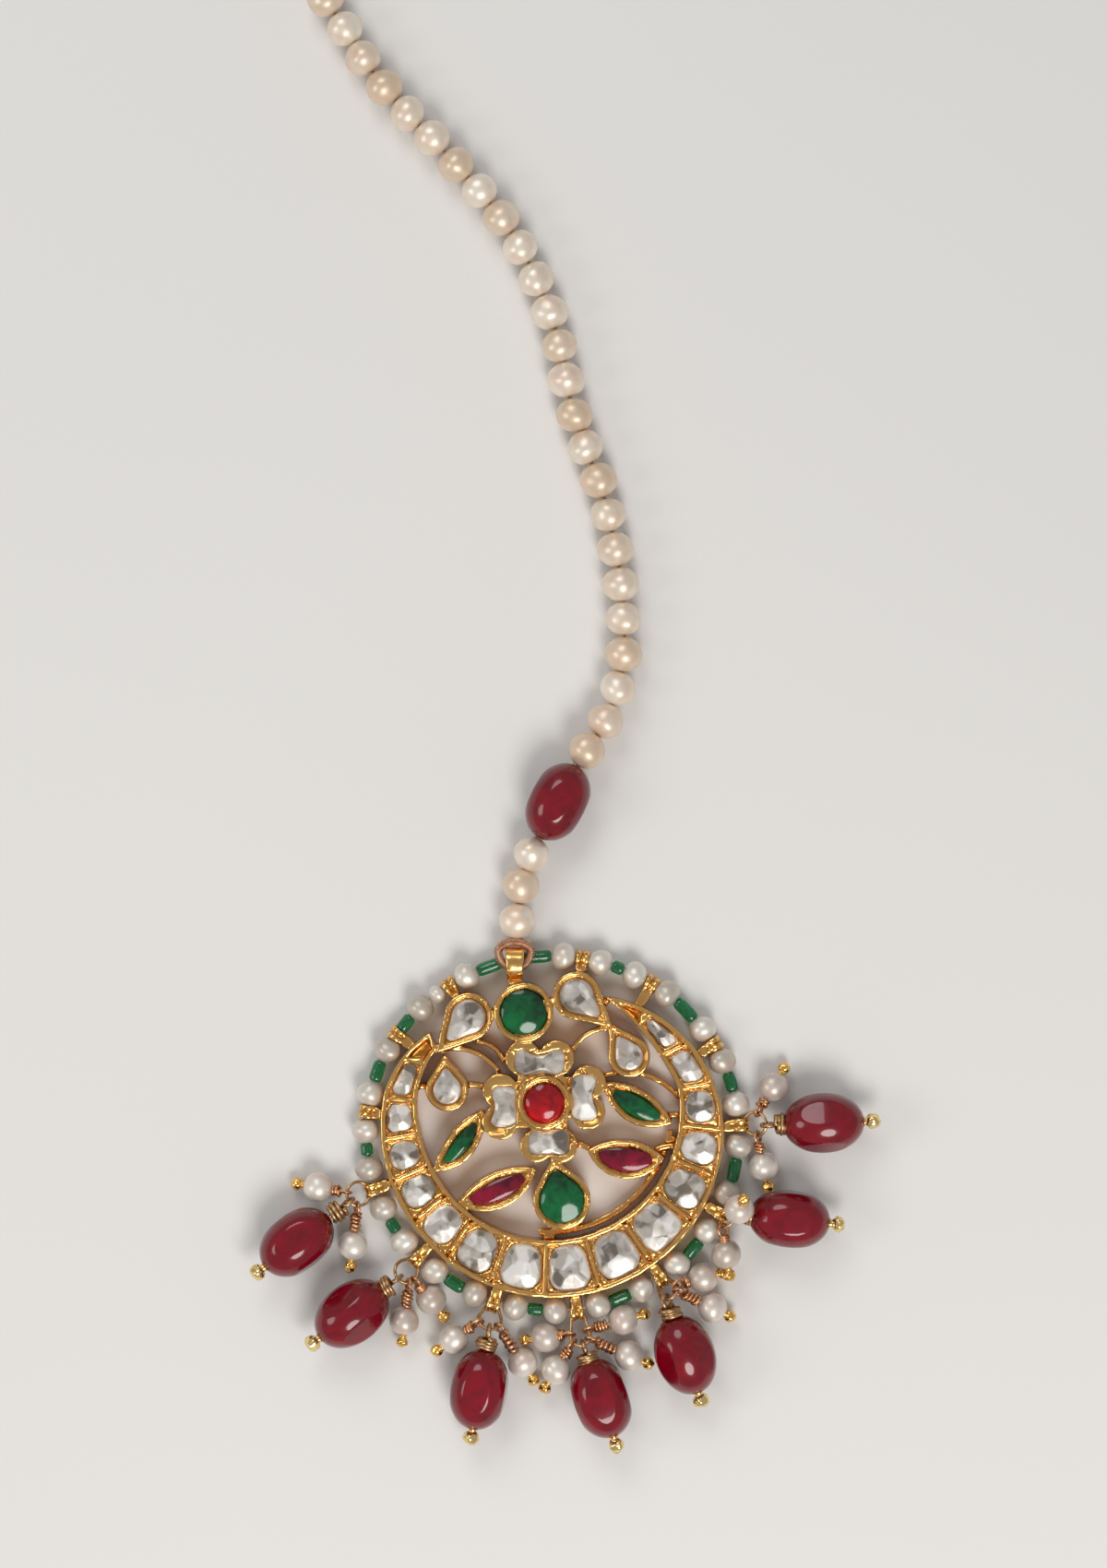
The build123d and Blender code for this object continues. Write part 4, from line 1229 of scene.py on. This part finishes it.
@dataclass
class Drops:
    """The seven clusters of ruby and pearl drops, and the ruby bead on the head string."""

    seed: int = 21
    clusters: int = 7
    string_ruby_fullness: float = 1.055

    def build(self) -> None:
        """Builds the drops' pearls and pins and dresses their rubies and links."""
        glass = RubyFinish("ruby_glass").material()
        numbers = range(1, self.clusters + 1)
        rubies = [WindowedBead(f"ruby_bead_{number}").build(glass) for number in numbers]
        WindowedBead("string_ruby", shallower=self.string_ruby_fullness).build(glass)
        pearl = PearlFinish("drop_nacre", (0.83, 0.76, 0.68), (0.58, 0.49, 0.42), (0.72, 0.53, 0.45))
        pins = pins_in("pearl_pins")
        run = PearlRun("drop_pearls", "rim_pearl", pearl, self.seed)
        run.build(lambda solids: [self.threaded(points, pins) for points in solids])
        pearls = [measured(points, self.threaded(points, pins)) for points in islands("drop_pearls")]
        antique = WireFinish("antique_wire", (0.66, 0.43, 0.22), (0.34, 0.19, 0.09), 0.26)
        copper = WireFinish("copper_wire", (0.86, 0.5, 0.27), (0.5, 0.22, 0.1))
        pale = GoldFinish("pale_nuggets", (1.0, 0.76, 0.34), (0.6, 0.4, 0.13), smooth=0.2,
                          pit_depth=0.03, wave_depth=0.12, waves=1.2)
        orange = GoldFinish("orange_nuggets", (1.0, 0.6, 0.18), (0.7, 0.3, 0.05), smooth=0.2,
                            pit_depth=0.03, wave_depth=0.1, waves=1.2)
        Pins([f"ruby_pin_{number}" for number in numbers], "ruby_pins", antique, pale, self.seed,
             wrap=0.95 * MM, stem=0.2 * MM, least_turns=3.3).build(rubies)
        Pins(["pearl_pins"], "pearl_pins", copper, orange, self.seed + 1,
             wrap=0.48 * MM, stem=0.16 * MM, least_turns=2.6).build(pearls)
        refinish("jump_links", antique.material())

    @staticmethod
    def threaded(points: np.ndarray, pins: Sequence[Pin]) -> np.ndarray:
        """Heading of the pin that passes through a pearl.

        Args:
            points: The pearl's points.
            pins: All the pearl pins.

        Returns:
            The heading.
        """
        spot = Bead(middle(points), np.zeros(3), 0.0, 0.0)
        return min(pins, key=lambda pin: Pins.miss(pin, spot)).heading


@dataclass
class WindowedBead:
    """An oval ruby bead with polished oval windows along its sides."""

    node: str
    rows: int = 72
    sides: int = 112
    bore: float = 0.4 * MM
    fullness: float = 2.05
    shallower: float = 1.025
    bend: float = 0.037 / MM
    crispness: float = 0.97
    bearings: int = 180
    nearby: int = 20
    waist: float = 0.5
    flattened: float = 0.97
    least_apart: float = 0.5

    def build(self, material: bpy.types.Material) -> Bead:
        """Builds the bead over its solid.

        Args:
            material: Its finish.

        Returns:
            The bead's place.
        """
        points = islands(self.node)[0]
        bead = measured(points, main_axis(points)[1])
        profile = rounded(bead.half, bead.radius, self.bore, self.rows, self.fullness)
        local, faces = lathe(profile, self.sides)
        turned = frame_on(bead.axis)
        for heading, reach in self.windows((points - bead.centre) @ turned.T):
            past = np.clip(local @ heading - reach + self.bend * local[:, 2] ** 2, 0, None)
            local = local - np.outer(past * self.crispness, heading)
        shape = Shape()
        shape.add(bead.centre + local @ turned, faces)
        shape.piece(self.node + "_polished", "ruby", [self.node], material)
        return bead

    def windows(self, local: np.ndarray) -> list[tuple[np.ndarray, float]]:
        """Finds where the solid is flattened.

        Args:
            local: The solid's points, with the bore along the third axis.

        Returns:
            Heading and reach of each window.
        """
        turns = np.linspace(0, math.tau, self.bearings, endpoint=False)
        waist = local[np.abs(local[:, 2]) < np.abs(local[:, 2]).max() * self.waist]
        reach = (waist[:, :2] @ np.stack((np.cos(turns), np.sin(turns)))).max(0)
        steps = range(-self.nearby, self.nearby + 1)
        found = []
        for index, (turn, far) in enumerate(zip(turns, reach)):
            lowest = min(reach[(index + step) % self.bearings] for step in steps)
            apart = not found or turn - found[-1][0] > self.least_apart
            if far <= lowest and far < reach.max() * self.flattened and apart:
                found.append((turn, far))
        return [(np.array((math.cos(turn), math.sin(turn), 0.0)), far * self.shallower)
                for turn, far in found]


# ---------------------------------------------------------------- medallion

@dataclass
class Skin:
    """The gold's surface under work: its points, how much painted shade each carries, and which are clear of
    stones.
    """

    spots: np.ndarray
    painted_shade: np.ndarray
    clear: np.ndarray

    def paint_shade(self, points: np.ndarray, depth: np.ndarray) -> None:
        """Paints shade on points, unless they carry more painted shade already.

        Args:
            points: The points' numbers.
            depth: How much painted shade each gets, from 0 to 1.
        """
        self.painted_shade[points] = np.maximum(self.painted_shade[points], depth)

    def within(self, outline: np.ndarray, margin: float) -> np.ndarray:
        """Finds the points that stand in the box round an outline, in plan.

        Args:
            outline: The outline.
            margin: How far outside the box a point may stand.

        Returns:
            The points' numbers.
        """
        low, high = outline.min(0) - margin, outline.max(0) + margin
        return np.flatnonzero(((self.spots[:, :2] > low) & (self.spots[:, :2] < high)).all(1))


@dataclass
class Medallion:
    """The gold frame and the stones set in it."""

    seed: int = 11
    voxel: float = 0.14 * MM
    soften: float = 0.5
    soften_rounds: int = 2
    most_triangles: int = 190000
    bank_reach: float = 1.9 * MM
    bank_width: float = 0.75 * MM
    bank_band: float = 0.22 * MM
    bank_height: float = 0.3 * MM
    bank_curve: float = 0.8
    bank_steps: int = 96
    bank_fade: float = 0.4
    stone_room: float = 0.7 * MM
    table_drop: float = 0.1 * MM
    tip_wall: float = 0.35 * MM
    tip_depth: float = 0.55 * MM
    tip_edge: float = 0.3 * MM
    top_band: float = 0.05 * MM
    wall_levels: tuple[float, float] = (0.4, 0.85)
    low_level: float = 2.4 * MM
    low_shade: float = 0.55
    deep_shade: float = 0.8
    unevenness: tuple[Triple, ...] = ((0.03 * MM, 3.1 * MM, 5.0), (0.008 * MM, 1.1 * MM, 9.0))
    loop_width: float = 1.45 * MM
    loop_start: float = 0.3 * MM
    loop_reach: float = 3.0 * MM
    loop_band: float = 0.15 * MM
    loop_gap: float = 0.03
    loop_full: float = 0.9
    loop_side: float = 0.7
    groove_half: float = 0.28 * MM
    groove_depth: float = 0.16 * MM
    groove_inside: float = 0.78 * MM
    groove_reach: float = 0.95 * MM

    def build(self) -> None:
        """Builds the frame and its stones."""
        self.gold()
        rng = np.random.default_rng(self.seed)
        polki = PolkiFinish("polki").material()
        for node in sorted(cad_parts):
            if "polki" in node:
                Stone(node, "polki", shoulders=10, slopes=7, softness=0.018).build(polki, rng)
        # Each gem's second colour is the lighter colour of its painted light and of its lighter clouds.
        emerald = GemFinish("emerald", (0.0, 0.022, 0.007), (0.0, 0.16, 0.04), (0.005, 0.12, 0.045))
        ruby = GemFinish("ruby", (0.11, 0.0, 0.002), (0.62, 0.0, 0.008), (0.3, 0.0, 0.004))
        leaf_ruby = GemFinish("leaf_ruby", (0.06, 0.0, 0.007), (0.34, 0.002, 0.03), (0.2, 0.003, 0.022))
        for finish, slot, nodes in (
                (emerald, "emerald", "top_emerald emerald_drop leaf_emerald_left leaf_emerald_right"),
                (ruby, "ruby", "centre_ruby"),
                (leaf_ruby, "ruby", "leaf_ruby_left leaf_ruby_right")):
            material = finish.material()
            for node in nodes.split():
                Stone(node, slot, shoulders=5, slopes=0, softness=0.08).build(material, rng)

    def gold(self) -> None:
        """Softens the frame's edges and gives it a hand-worked unevenness."""
        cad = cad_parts["gold_frame"]
        piece = bpy.data.objects.new("gold_frame_worked", cad.data.copy())
        dress(piece, ["gold_frame"], GoldFinish("kundan_gold").material())
        remesh = piece.modifiers.new("even", "REMESH")
        remesh.mode, remesh.voxel_size = "VOXEL", self.voxel
        soften = piece.modifiers.new("soften", "SMOOTH")
        soften.factor, soften.iterations = self.soften, self.soften_rounds
        self.apply(piece)
        mesh = piece.data
        spots = spots_of(mesh)
        for amount, wave, seed in self.unevenness:
            spots = wobble(spots, amount, wave, seed)
        # Painted shade: the gold is darker towards the bottom, below low_level.
        painted_shade = self.low_shade * np.clip(1 - spots[:, 2] / self.low_level, 0, 1)
        skin = Skin(spots, painted_shade, np.ones(len(spots), bool))
        self.broaden(skin)
        for node in sorted(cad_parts):
            if any(word in node for word in ("polki", "emerald", "leaf_ruby", "centre_ruby")):
                self.fold(skin, node)
        self.hollow(skin)
        spots[:, 2] = np.maximum(spots[:, 2], 0.0)
        mesh.attributes.new("painted_shade", "FLOAT", "POINT").data.foreach_set("value", painted_shade.astype(np.float32))
        mesh.vertices.foreach_set("co", spots.ravel())
        thin = piece.modifiers.new("thin", "DECIMATE")
        thin.ratio = min(1.0, self.most_triangles / (2 * len(mesh.polygons)))
        self.apply(piece)
        piece.data.shade_smooth()
        LOG.info("%s: %d faces after thinning", piece.name, len(piece.data.polygons))

    def broaden(self, skin: Skin) -> None:
        """Makes each rim loop a strip of one width, with a groove along its middle.

        Args:
            skin: The gold's surface, changed in place.
        """
        spots = skin.spots
        thread = np.concatenate(islands("rim_thread"))
        hub = middle(thread)
        bearing, reach = polar(thread, hub[:2])
        order = np.argsort(bearing)
        line = (bearing[order], reach[order])
        bearing, reach = polar(spots, hub[:2])
        past = reach - np.interp(bearing, *line, period=math.tau)
        outside = np.sort(bearing[past > self.loop_start])
        for loop in np.split(outside, np.flatnonzero(np.diff(outside) > self.loop_gap) + 1):
            centre = (loop[0] + loop[-1]) / 2
            across = (bearing - centre) * reach
            near = np.flatnonzero((np.abs(across) < self.loop_side * self.loop_width)
                                  & (past > -self.loop_reach))
            step = np.round(past[near] / self.loop_band)
            widths = {level: 2 * np.abs(across[near][step == level]).max() for level in np.unique(step)}
            full = self.loop_full * self.loop_width
            foot = max((level for level, width in widths.items() if width > full), default=min(widths))
            levels = [level for level in sorted(widths) if level > foot]
            if not levels:
                continue
            part = near[step > foot]
            swell = np.interp(past[part] / self.loop_band, levels,
                              [self.loop_width / widths[level] for level in levels])
            lift = spots[part, 2] - hub[2]
            far = np.hypot(past[part], lift)
            dip = (np.clip(1 - np.abs(across[part] * swell) / self.groove_half, 0, 1)
                   * (far > self.groove_inside) * (past[part] > -self.groove_reach))
            shrink = self.groove_depth * dip / far
            turn = centre + across[part] * swell / reach[part]
            along = (reach[part] - past[part] * shrink)[:, None]
            spots[part, :2] = hub[:2] + along * np.stack((np.cos(turn), np.sin(turn)), 1)
            spots[part, 2] = hub[2] + lift * (1 - shrink)
            # Painted shade in the groove.
            skin.paint_shade(part, self.deep_shade * dip)

    def hollow(self, skin: Skin) -> None:
        """Sinks the middle of the crescent's tips, which hold no stone.

        Args:
            skin: The gold's surface, changed in place.
        """
        spots = skin.spots
        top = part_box("crescent_polki_08")[1][2] + self.table_drop
        plate = np.flatnonzero(skin.clear & (np.abs(spots[:, 2] - top) < self.top_band))
        low, high = (share * top for share in self.wall_levels)
        walls = np.flatnonzero((spots[:, 2] > low) & (spots[:, 2] < high))
        tree = KDTree(len(walls))
        for index, wall in enumerate(walls):
            tree.insert((*spots[wall, :2], 0.0), index)
        tree.balance()
        inward = np.array([tree.find((*spots[index, :2], 0.0))[2] for index in plate])
        sink = np.clip((inward - self.tip_wall) / self.tip_edge, 0, 1)
        spots[plate, 2] -= self.tip_depth * sink
        # Painted shade in the sunk middle of the tips.
        skin.paint_shade(plate, self.deep_shade * sink)

    def fold(self, skin: Skin, node: str) -> None:
        """Banks the gold foil round one stone, from its edge up to the wall.

        Args:
            skin: The gold's surface, changed in place.
            node: The stone's CAD node.
        """
        edge = girdle(node, self.bank_steps)
        off = np.abs(skin.spots[:, 2] - edge.waist)
        near = skin.within(edge.outline, self.bank_reach)
        near = near[off[near] < self.bank_band]
        gap = np.linalg.norm(skin.spots[near][:, None, :2] - edge.outline[None], axis=2).min(1)
        bank = np.clip(gap / self.bank_width, 0, 1)
        fade = np.clip((self.bank_band - off[near]) / (self.bank_fade * self.bank_band), 0, 1)
        skin.spots[near, 2] += self.bank_height * bank ** self.bank_curve * fade * (gap < self.bank_reach)
        # Painted shade on the foil next to the stone's edge.
        skin.paint_shade(near, (1 - bank) * fade)
        skin.clear[skin.within(edge.outline, self.stone_room)] = False

    @staticmethod
    def apply(piece: bpy.types.Object) -> None:
        """Makes a piece's modifiers part of its mesh.

        Args:
            piece: The piece.
        """
        graph = bpy.context.evaluated_depsgraph_get()
        mesh = bpy.data.meshes.new_from_object(piece.evaluated_get(graph))
        piece.modifiers.clear()
        piece.data = mesh


@dataclass(frozen=True)
class Girdle:
    """A stone's outline in plan at its widest level, and its lowest, widest and highest levels."""

    outline: np.ndarray
    foot: float
    waist: float
    crown: float


def girdle(node: str, count: int, step: float = 0.01 * MM, fewest: int = 8) -> Girdle:
    """Finds the smooth outline of a stone at its widest level.

    Args:
        node: The stone's CAD node.
        count: Points wanted on the outline.
        step: Height of one level.
        fewest: Points that a level has at least.

    Returns:
        The outline and levels.
    """
    points = islands(node)[0]
    levels = np.round(points[:, 2] / step).astype(int)
    hub = middle(points)[:2]

    def size(level: int) -> float:
        """Mean distance of a level's points from the middle."""
        return float(np.linalg.norm(points[levels == level][:, :2] - hub, axis=1).mean())

    widest = max((level for level in np.unique(levels) if (levels == level).sum() >= fewest), key=size)
    ring = np.unique(np.round(points[levels == widest][:, :2], 7), axis=0)
    ring = ring[np.argsort(polar(ring, ring.mean(0))[0])]
    before, after, beyond = np.roll(ring, 1, 0), np.roll(ring, -1, 0), np.roll(ring, -2, 0)
    outline = []
    for share in np.linspace(0, len(ring), count, endpoint=False):
        i, t = int(share), share % 1.0
        a, b, c, d = before[i], ring[i], after[i], beyond[i]
        outline.append(0.5 * (2 * b + (c - a) * t + (2 * a - 5 * b + 4 * c - d) * t * t
                              + (3 * b - a - 3 * c + d) * t ** 3))
    outline = np.array(outline)
    if "crescent" in node:
        outline = drawn_in(outline)
    return Girdle(outline, points[:, 2].min(), widest * step, points[:, 2].max())


def drawn_in(outline: np.ndarray, pull: float = 0.65) -> np.ndarray:
    """Draws an outline's corners in towards an oval.

    Args:
        outline: The outline in plan.
        pull: Share of the way from the corner to the oval.

    Returns:
        The rounder outline.
    """
    hub = outline.mean(0)
    off = outline - hub
    turned = off @ np.linalg.svd(off, full_matrices=False)[2].T
    over = np.linalg.norm(turned / np.abs(turned).max(0), axis=1)
    return hub + off / np.maximum(1, 1 + pull * (over - 1))[:, None]


@dataclass
class Stone:
    """A hand-cut stone: a low dome ground to soft, uneven facets. Cuts are shares of its mean radius."""

    node: str
    slot: str
    shoulders: int
    slopes: int
    softness: float
    around: int = 60
    steps: int = 16
    fullness: float = 2.4
    seat_fill: float = 1.07
    foot_fill: float = 0.98
    innermost: float = 0.08
    bulge: float = 1.06
    turn_uneven: float = 0.35
    shoulder_cut: tuple[tuple[float, float], ...] = ((1.12, 1.24), (0.9, 1.1))
    slope_cut: tuple[tuple[float, float], ...] = ((0.92, 1.0), (0.25, 0.45))
    table: tuple[float, float] = (0.84, 0.92)
    table_tilt: float = 0.12

    def build(self, material: bpy.types.Material, rng: np.random.Generator) -> None:
        """Builds the stone.

        Args:
            material: Its finish.
            rng: Source of unevenness.
        """
        edge = girdle(self.node, self.around)
        hub = edge.outline.mean(0)
        off = edge.outline - hub
        count, last = self.around, self.steps * self.around
        rings = np.linspace(1, self.innermost, self.steps)
        plan = np.concatenate([off * ring for ring in rings] + [np.zeros((1, 2))])
        share = np.append(np.repeat(rings, count), 0.0)
        height, tone = self.ground(plan / np.linalg.norm(off, axis=1).mean(), share, rng)
        top = np.column_stack((hub + plan * self.seat_fill, edge.waist + (edge.crown - edge.waist) * height))
        foot = np.column_stack((hub + off * self.foot_fill, np.full(count, edge.foot)))
        faces = bands(self.steps + 1, count)
        faces += [(last + s, last + (s + 1) % count, last + count) for s in range(count)]
        faces.append(tuple(reversed(range(count))))
        points = np.concatenate((foot, top))
        # Painted light: glow rises towards -Y, the key lamp's side. facet is a random tone for each facet,
        # which the finishes paint as reflections.
        glow = 1 - (points[:, 1] - points[:, 1].min()) / np.ptp(points[:, 1])
        shape = Shape()
        shape.add(points, faces, glow=glow, facet=np.append(np.zeros(count), tone),
                  edge=np.append(np.zeros(count), 1 - share))
        shape.piece(self.node + "_cut", self.slot, [self.node], material)

    def ground(self, plan: np.ndarray, share: np.ndarray,
               rng: np.random.Generator) -> tuple[np.ndarray, np.ndarray]:
        """Grinds facets on the dome.

        Args:
            plan: Places in plan, as shares of the stone's mean radius.
            share: Places from the middle at 0 to the edge at 1.
            rng: Source of unevenness.

        Returns:
            Height of each place from 0 to 1, and the tone of its facet.
        """
        cuts = [(1 - share ** self.fullness) * self.bulge]
        for sides, (reach, slope) in ((self.shoulders, self.shoulder_cut), (self.slopes, self.slope_cut)):
            for index in range(sides):
                turn = (index + rng.uniform(-self.turn_uneven, self.turn_uneven)) / sides * math.tau
                across = plan @ np.array((math.cos(turn), math.sin(turn)))
                cuts.append(rng.uniform(*reach) - rng.uniform(*slope) * across)
        cuts.append(rng.uniform(*self.table) + plan @ rng.uniform(-self.table_tilt, self.table_tilt, 2))
        nearness = np.exp(-np.array(cuts) / self.softness)
        height = -self.softness * np.log(nearness.sum(0))
        tones = rng.uniform(0, 1, len(cuts))
        return np.clip(height, 0, 1) * (share < 1), (tones[:, None] * nearness).sum(0) / nearness.sum(0)


# ---------------------------------------------------------------- stage

@dataclass(frozen=True)
class Lamp:
    """A soft round lamp: its place from the medallion's middle, width, power in watts and colour."""

    name: str
    place: Triple
    size: float
    power: float
    colour: Colour

    def hang(self) -> None:
        """Hangs the lamp so that it faces the medallion."""
        data = bpy.data.lights.new(self.name, "AREA")
        data.shape, data.size, data.energy, data.color = "DISK", self.size, self.power, self.colour
        lamp = bpy.data.objects.new(self.name, data)
        bpy.context.scene.collection.objects.link(lamp)
        lamp.location = Vector(self.place)
        lamp.rotation_euler = (-Vector(self.place)).to_track_quat("-Z", "Y").to_euler()


@dataclass
class Stage:
    """Pale floor, soft lights and a camera that looks down on the jewel."""

    level: float
    floor_size: float = 4.0
    surround: Colour = (0.36, 0.36, 0.365)
    lamps: tuple[Lamp, ...] = (Lamp("key", (0.1, -0.3, 0.42), 0.26, 1.45, (1.0, 0.98, 0.95)),
                               Lamp("back", (-0.14, 0.42, 0.4), 0.3, 0.72, (0.96, 0.98, 1.0)),
                               Lamp("side", (-0.42, -0.02, 0.3), 0.22, 0.4, (1.0, 0.98, 0.95)))
    picture_height: float = 170 * MM
    focus: Triple = (0.0, 37.5 * MM, 2 * MM)
    distance: float = 500 * MM
    sensor: float = 36.0

    def build(self) -> None:
        """Builds the floor, the lights, the world and the camera."""
        scene = bpy.context.scene
        bpy.ops.mesh.primitive_plane_add(size=self.floor_size, location=(0, 0, self.level))
        floor = bpy.context.object
        floor.name = "floor"
        floor.data.materials.append(FloorFinish().material())
        floor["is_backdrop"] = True
        scene.world = bpy.data.worlds.new("studio")
        scene.world.use_nodes = True
        around = scene.world.node_tree.nodes["Background"]
        around.inputs["Color"].default_value = (*self.surround, 1.0)
        for lamp in self.lamps:
            lamp.hang()
        camera = bpy.data.objects.new("camera", bpy.data.cameras.new("camera"))
        scene.collection.objects.link(camera)
        camera.location = Vector(self.focus) + Vector((0, 0, self.distance))
        camera.data.sensor_width = self.sensor
        camera.data.lens = self.sensor * self.distance / self.picture_height
        scene.camera = camera
        scene.view_settings.view_transform = "Standard"


def main() -> None:
    """Dresses the jewel, sub-assembly by sub-assembly."""
    logging.basicConfig(level=logging.INFO, format="%(name)s: %(message)s")
    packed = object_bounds()
    Stage(packed[0][2]).build()
    Medallion().build()
    Rim().build()
    HeadString().build()
    Drops().build()


if __name__ == "__main__":
    main()
